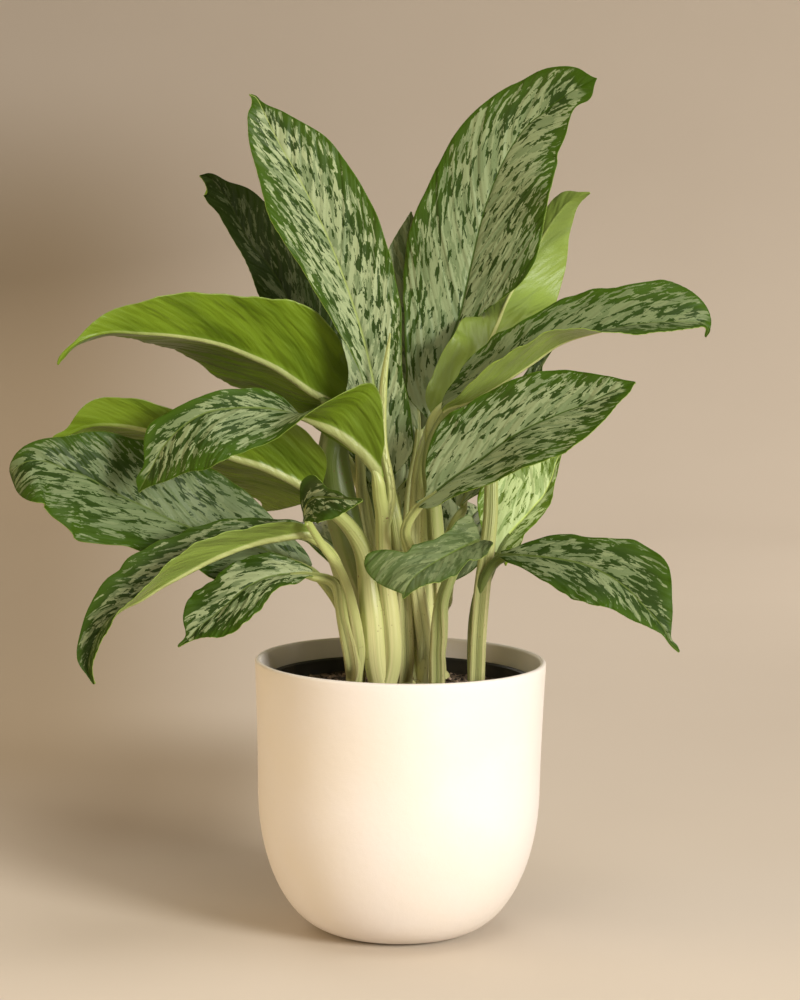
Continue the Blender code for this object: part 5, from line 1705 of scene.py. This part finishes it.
        # The underside starts as a copy of the upper face, and a bridge round the margin joins them
        rim = [item for item in body.edges if item.is_boundary]
        under = bmesh.ops.duplicate(body, geom=body.verts[:] + body.edges[:] + body.faces[:])
        body.verts.ensure_lookup_table()
        corners = body.verts[len(row):]
        move_corners(corners, bottom[row, column])
        layers = body.verts.layers.float_vector
        # Each half of the underside gets its own painted shade.
        for vertex, tone in zip(corners, np.where(place < 0.0, *look.under)):
            vertex[layers["leaf_share"]].z = float(tone)
            vertex[layers["leaf_tone"]].z = look.under_pale
        below = [item for item in under["geom"] if isinstance(item, bmesh.types.BMFace)]
        bmesh.ops.reverse_faces(body, faces=below)
        upper_rim = set(rim)
        rims = rim + [item for item in body.edges if item.is_boundary and item not in upper_rim]
        for face in below + bmesh.ops.bridge_loops(body, edges=rims)["faces"]:
            face.material_index = 1
        bmesh.ops.recalc_face_normals(body, faces=body.faces)
        return body

    def stalk(self, soil: Soil) -> Mesh:
        """Make the stalk's mesh, from inside the foot of its shoot to under the blade's base.

        Args:
            soil: The soil that the leaf grows from.

        Returns:
            The closed mesh.
        """
        stem, blade = self.curves(soil)
        stem = np.vstack([stem[:1] - np.array([[0.0, 0.0, self.stalk_sunk * MM]]), stem])
        length = lengths_along(stem)[-1]
        whole = np.vstack([stem, blade[1:]])
        total = lengths_along(whole)[-1]
        reach = np.linspace(0.0, (length + self.stalk_overlap) / total, self.stalk_rows)
        path = along(whole, reach)
        shares = np.clip(reach * total / length, 0.0, 1.0)
        over = np.clip((reach * total - length) / lengths_along(blade)[-1], 0.0, 1.0)
        past = ease(reach * total, length - self.taper_start, length + self.stalk_overlap)
        radii = spread(self.size.petiole_radius, shares) * MM * (1.0 - past)
        radii = radii + spread(self.keel_depths, over) * 0.5 * past
        facing = np.repeat(np.asarray(self.size.facing[:1], float), len(path), axis=0)
        above = square_to(unit(np.gradient(path, axis=0)), facing)
        sink = ease(reach * total, length - self.stalk_dip, length)
        path = path - above * (radii * sink)[:, None]

        body, column, row = tube(path, above, radii, self.section.outline(shares))
        around = column % self.section.sides / self.section.sides
        groove, paper = self.section.marks(around, self.section.sheath(shares)[row])
        # The dark green tone is partly painted shade.
        green = self.green_foot + (1.0 - self.green_foot) * ease(shares, *self.green_reach)
        # The painted light on the stalk fades out towards its top.
        pale = 1.0 - ease(shares, *self.painted_light_reach)
        return finish_stalk(
            body,
            (np.sin(math.tau * around) + 2.0 * around, reach[row] * total,
             self.number * self.stalk_layer),
            (shares[row], groove, paper),
            (self.look.stalk_green * green[row], self.look.stalk_painted_light * pale[row], 0.0))

    def build(self, soil: Soil, upper: Finish, under: Finish) -> Piece:
        """Make the blade in the given finishes."""
        body = self.blade(self.curves(soil)[1])
        return add_piece(f"{self.name}_blade", body, Slot.LEAF, upper, under, stands_for=self.name)


@dataclass
class RolledLeaf:
    """A leaf still rolled up, standing on the centre left stems."""

    path: tuple[Place, ...] = ((-12, -29, 280), (-8, -31, 306), (-14, -29, 341), (-14, -27, 378),
                               (-10, -23, 414))
    facing: Place = (0.2, -1.0, 0.1)
    radii: Table = (3.0, 3.2, 3.0, 2.4, 0.6)
    lap: float = 0.16
    rows: int = 60
    sides: int = 24
    layer: float = 91.0
    lowest_share: float = 0.7

    def mesh(self) -> Mesh:
        """Make the rolled blade with the lap of its outer edge."""
        curve = smooth_curve(np.array(self.path, float) * MM)
        shares = np.linspace(0.0, 1.0, self.rows)
        turns = np.linspace(0.0, math.tau, self.sides, endpoint=False)
        lap = 1.0 + self.lap * turns / math.tau
        section = np.stack([lap * np.sin(turns), lap * np.cos(turns)], axis=1)[None]
        body, column, row = tube(along(curve, shares), np.repeat([self.facing], self.rows, axis=0),
                                 spread(self.radii, shares) * MM, section.repeat(self.rows, axis=0))
        high = self.lowest_share + (1.0 - self.lowest_share) * shares[row]
        length = lengths_along(curve)[-1]
        return finish_stalk(body, (2.0 * column / self.sides, shares[row] * length, self.layer),
                            (high, 0.0, 0.0))


@dataclass
class Shoot:
    """One leafy shoot: the short cane at its foot, and the stalks of its leaves."""

    name: str
    size: ShootSize
    leaves: list[Leaf]
    sides: int = 32
    rows: int = 20
    above_soil: float = 0.007
    below_soil: float = 0.012
    ring_spacing: float = 0.004
    ring_height: float = 0.03
    top_taper: float = 0.45
    taper_reach: Span = (0.7, 1.0)

    def cane(self, soil: Soil) -> Mesh:
        """Make the cane, ringed where old leaves stood."""
        x, y = self.size.x * MM, self.size.y * MM
        ground = soil.height(math.hypot(x, y))
        shares = np.linspace(0.0, 1.0, self.rows)
        heights = ground - self.below_soil + (self.above_soil + self.below_soil) * shares
        path = np.stack([np.full(self.rows, x), np.full(self.rows, y), heights], axis=1)
        rings = 1.0 + self.ring_height * np.cos(math.tau * heights / self.ring_spacing)
        taper = 1.0 - self.top_taper * ease(shares, *self.taper_reach)
        radii = self.size.radius * MM * rings * taper
        turns = np.linspace(0.0, math.tau, self.sides, endpoint=False)
        section = np.stack([np.sin(turns), np.cos(turns)], axis=1)[None].repeat(self.rows, axis=0)
        facing = np.repeat([[0.0, -1.0, 0.0]], self.rows, axis=0)
        body, column, row = tube(path, facing, radii, section)
        return finish_stalk(body, (2.0 * column / self.sides, heights[row], self.size.x),
                            (0.0, 0.0, 0.0))

    def build(self, soil: Soil, finish: Finish, extra: list[Mesh]) -> Piece:
        """Make the shoot as one piece.

        Args:
            soil: The soil that it grows from.
            finish: The finish of its stalks.
            extra: Other meshes that grow on it.

        Returns:
            The piece.
        """
        whole = join_meshes([self.cane(soil)] + [leaf.stalk(soil) for leaf in self.leaves] + extra)
        return add_piece(f"{self.name}_stalks", whole, Slot.STALK, finish, stands_for=self.name)


@dataclass
class Plant:
    """The whole plant: its shoots with their stalks, and its leaves."""

    soil: Soil
    rolled_on: str = "stems_centre_left"

    def build(self, upper: Finish, under: Finish, stalk: Finish) -> None:
        """Make every shoot and every leaf.

        Args:
            upper: The finish of the leaves' upper faces.
            under: The finish of their undersides.
            stalk: The finish of the stalks.
        """
        leaves = [Leaf(name, size, LOOKS.get(name, LeafLook()), number)
                  for number, (name, size) in enumerate(LEAVES.items())]
        for name, size in SHOOTS.items():
            own = [leaf for leaf in leaves if leaf.size.shoot == name]
            extra = [RolledLeaf().mesh()] if name == self.rolled_on else []
            Shoot(name, size, own).build(self.soil, stalk, extra)
        for leaf in leaves:
            leaf.build(self.soil, upper, under)


# The studio


@dataclass(frozen=True)
class Lamp:
    """One soft lamp: where it stands, what it points at, how wide it is and how bright."""

    name: str
    place: Place
    target: Place
    width: float
    power: float
    colour: Colour

    def build(self) -> Piece:
        """Hang the lamp."""
        data = bpy.data.lights.new(self.name, "AREA")
        data.shape = "DISK"
        data.size = self.width
        data.energy = self.power
        data.color = self.colour
        lamp = add_object(self.name, data)
        lamp.location = self.place
        aim = Vector(self.target) - Vector(self.place)
        lamp.rotation_euler = aim.to_track_quat("-Z", "Y").to_euler()
        return lamp


@dataclass
class Studio:
    """The floor, the light and the camera."""

    half_width: float = 5.0
    front: float = -4.0
    sweep_start: float = 2.2
    sweep_radius: float = 2.2
    wall_height: float = 3.0
    sweep_steps: int = 48
    sky: Colour = (1.00, 0.80, 0.58)
    sky_strength: float = 0.26
    camera_place: Place = (0.0, -1.97199, 0.52254)
    camera_pitch: float = 6.473
    camera_roll: float = 0.8
    lens: float = 104.58
    sensor: float = 36.0
    shift: float = -0.0028
    clip: Span = (0.05, 60.0)
    lamps: tuple[Lamp, ...] = (
        Lamp("key_lamp", (1.92, -1.98, 1.08), (0.0, 0.0, 0.25), 1.0, 93.0, (1.0, 0.980, 0.92)),
        Lamp("fill_lamp", (-1.2, -2.6, 0.9), (0.0, 0.0, 0.25), 1.8, 12.0, (1.0, 0.93, 0.82)),
        Lamp("side_lamp", (-1.7, -0.5, 0.45), (0.0, 0.0, 0.15), 1.4, 12.0, (1.0, 0.74, 0.36)),
        Lamp("top_lamp", (0.4, -0.4, 2.8), (0.0, 0.0, 0.0), 1.8, 30.0, (1.0, 0.95, 0.88)),
        Lamp("wall_lamp", (1.9, 1.5, 1.0), (0.6, 3.6, 0.4), 1.2, 26.0, (1.0, 0.94, 0.86)),
        Lamp("back_lamp", (-1.0, 2.7, 1.5), (0.0, 0.0, 0.3), 1.6, 14.0, (1.0, 0.94, 0.86)),
    )

    def build_floor(self) -> None:
        """Lay the floor, which sweeps up far behind. It isn't part of the object."""
        turns = np.linspace(0.0, math.pi / 2.0, self.sweep_steps + 1)
        sweep = np.stack([self.sweep_start + self.sweep_radius * np.sin(turns),
                          self.sweep_radius * (1.0 - np.cos(turns))], axis=1)
        top = (self.sweep_start + self.sweep_radius, self.sweep_radius + self.wall_height)
        profile = np.vstack([(self.front, 0.0), sweep, top])
        body, column, row = new_grid(1, len(profile) - 1)
        across = (2.0 * column - 1.0) * self.half_width
        move_corners(body.verts, np.column_stack([across, profile[row]]))
        mesh = finished_mesh("studio_floor", body, FloorFinish().material("studio_floor"))
        add_object("studio_floor", mesh)

    def build_sky(self) -> None:
        """Set the even light that comes from all round."""
        world = bpy.data.worlds.new("studio_sky")
        world.use_nodes = True
        shade = world.node_tree.nodes["Background"]
        shade.inputs["Color"].default_value = (*self.sky, 1.0)
        shade.inputs["Strength"].default_value = self.sky_strength
        bpy.context.scene.world = world
        bpy.context.scene.view_settings.view_transform = "Standard"

    def build_camera(self) -> None:
        """Set up the camera at the photograph's viewing angle."""
        data = bpy.data.cameras.new("portrait_camera")
        data.lens = self.lens
        data.sensor_width = self.sensor
        data.shift_x = self.shift
        data.clip_start, data.clip_end = self.clip
        camera = add_object("portrait_camera", data)
        tilt = Matrix.Rotation(math.radians(90.0 - self.camera_pitch), 4, "X")
        roll = Matrix.Rotation(math.radians(self.camera_roll), 4, "Z")
        camera.matrix_world = Matrix.Translation(self.camera_place) @ tilt @ roll
        bpy.context.scene.camera = camera

    def build(self) -> None:
        """Make the floor, the sky, the lamps and the camera."""
        self.build_floor()
        self.build_sky()
        for lamp in self.lamps:
            lamp.build()
        self.build_camera()


def main() -> None:
    """Build every piece of the potted plant and its studio."""
    logging.basicConfig(level=logging.INFO, format="%(message)s")
    Studio().build()
    Cachepot().build(GlazeFinish().material("cream_glaze_fine"))
    nursery = NurseryPot()
    nursery.build(PlasticFinish().material("black_plastic_fine"))
    soil = Soil(nursery)
    soil.build_ground(SoilFinish().material("dark_soil_fine"))
    soil.build_crumbs(CrumbFinish().material("soil_crumbs_fine"))
    Plant(soil).build(LeafUpperFinish().material("leaf_upper_fine"),
                      LeafUnderFinish().material("leaf_under_fine"),
                      StalkFinish().material("pale_stalk_fine"))


if __name__ == "__main__":
    main()
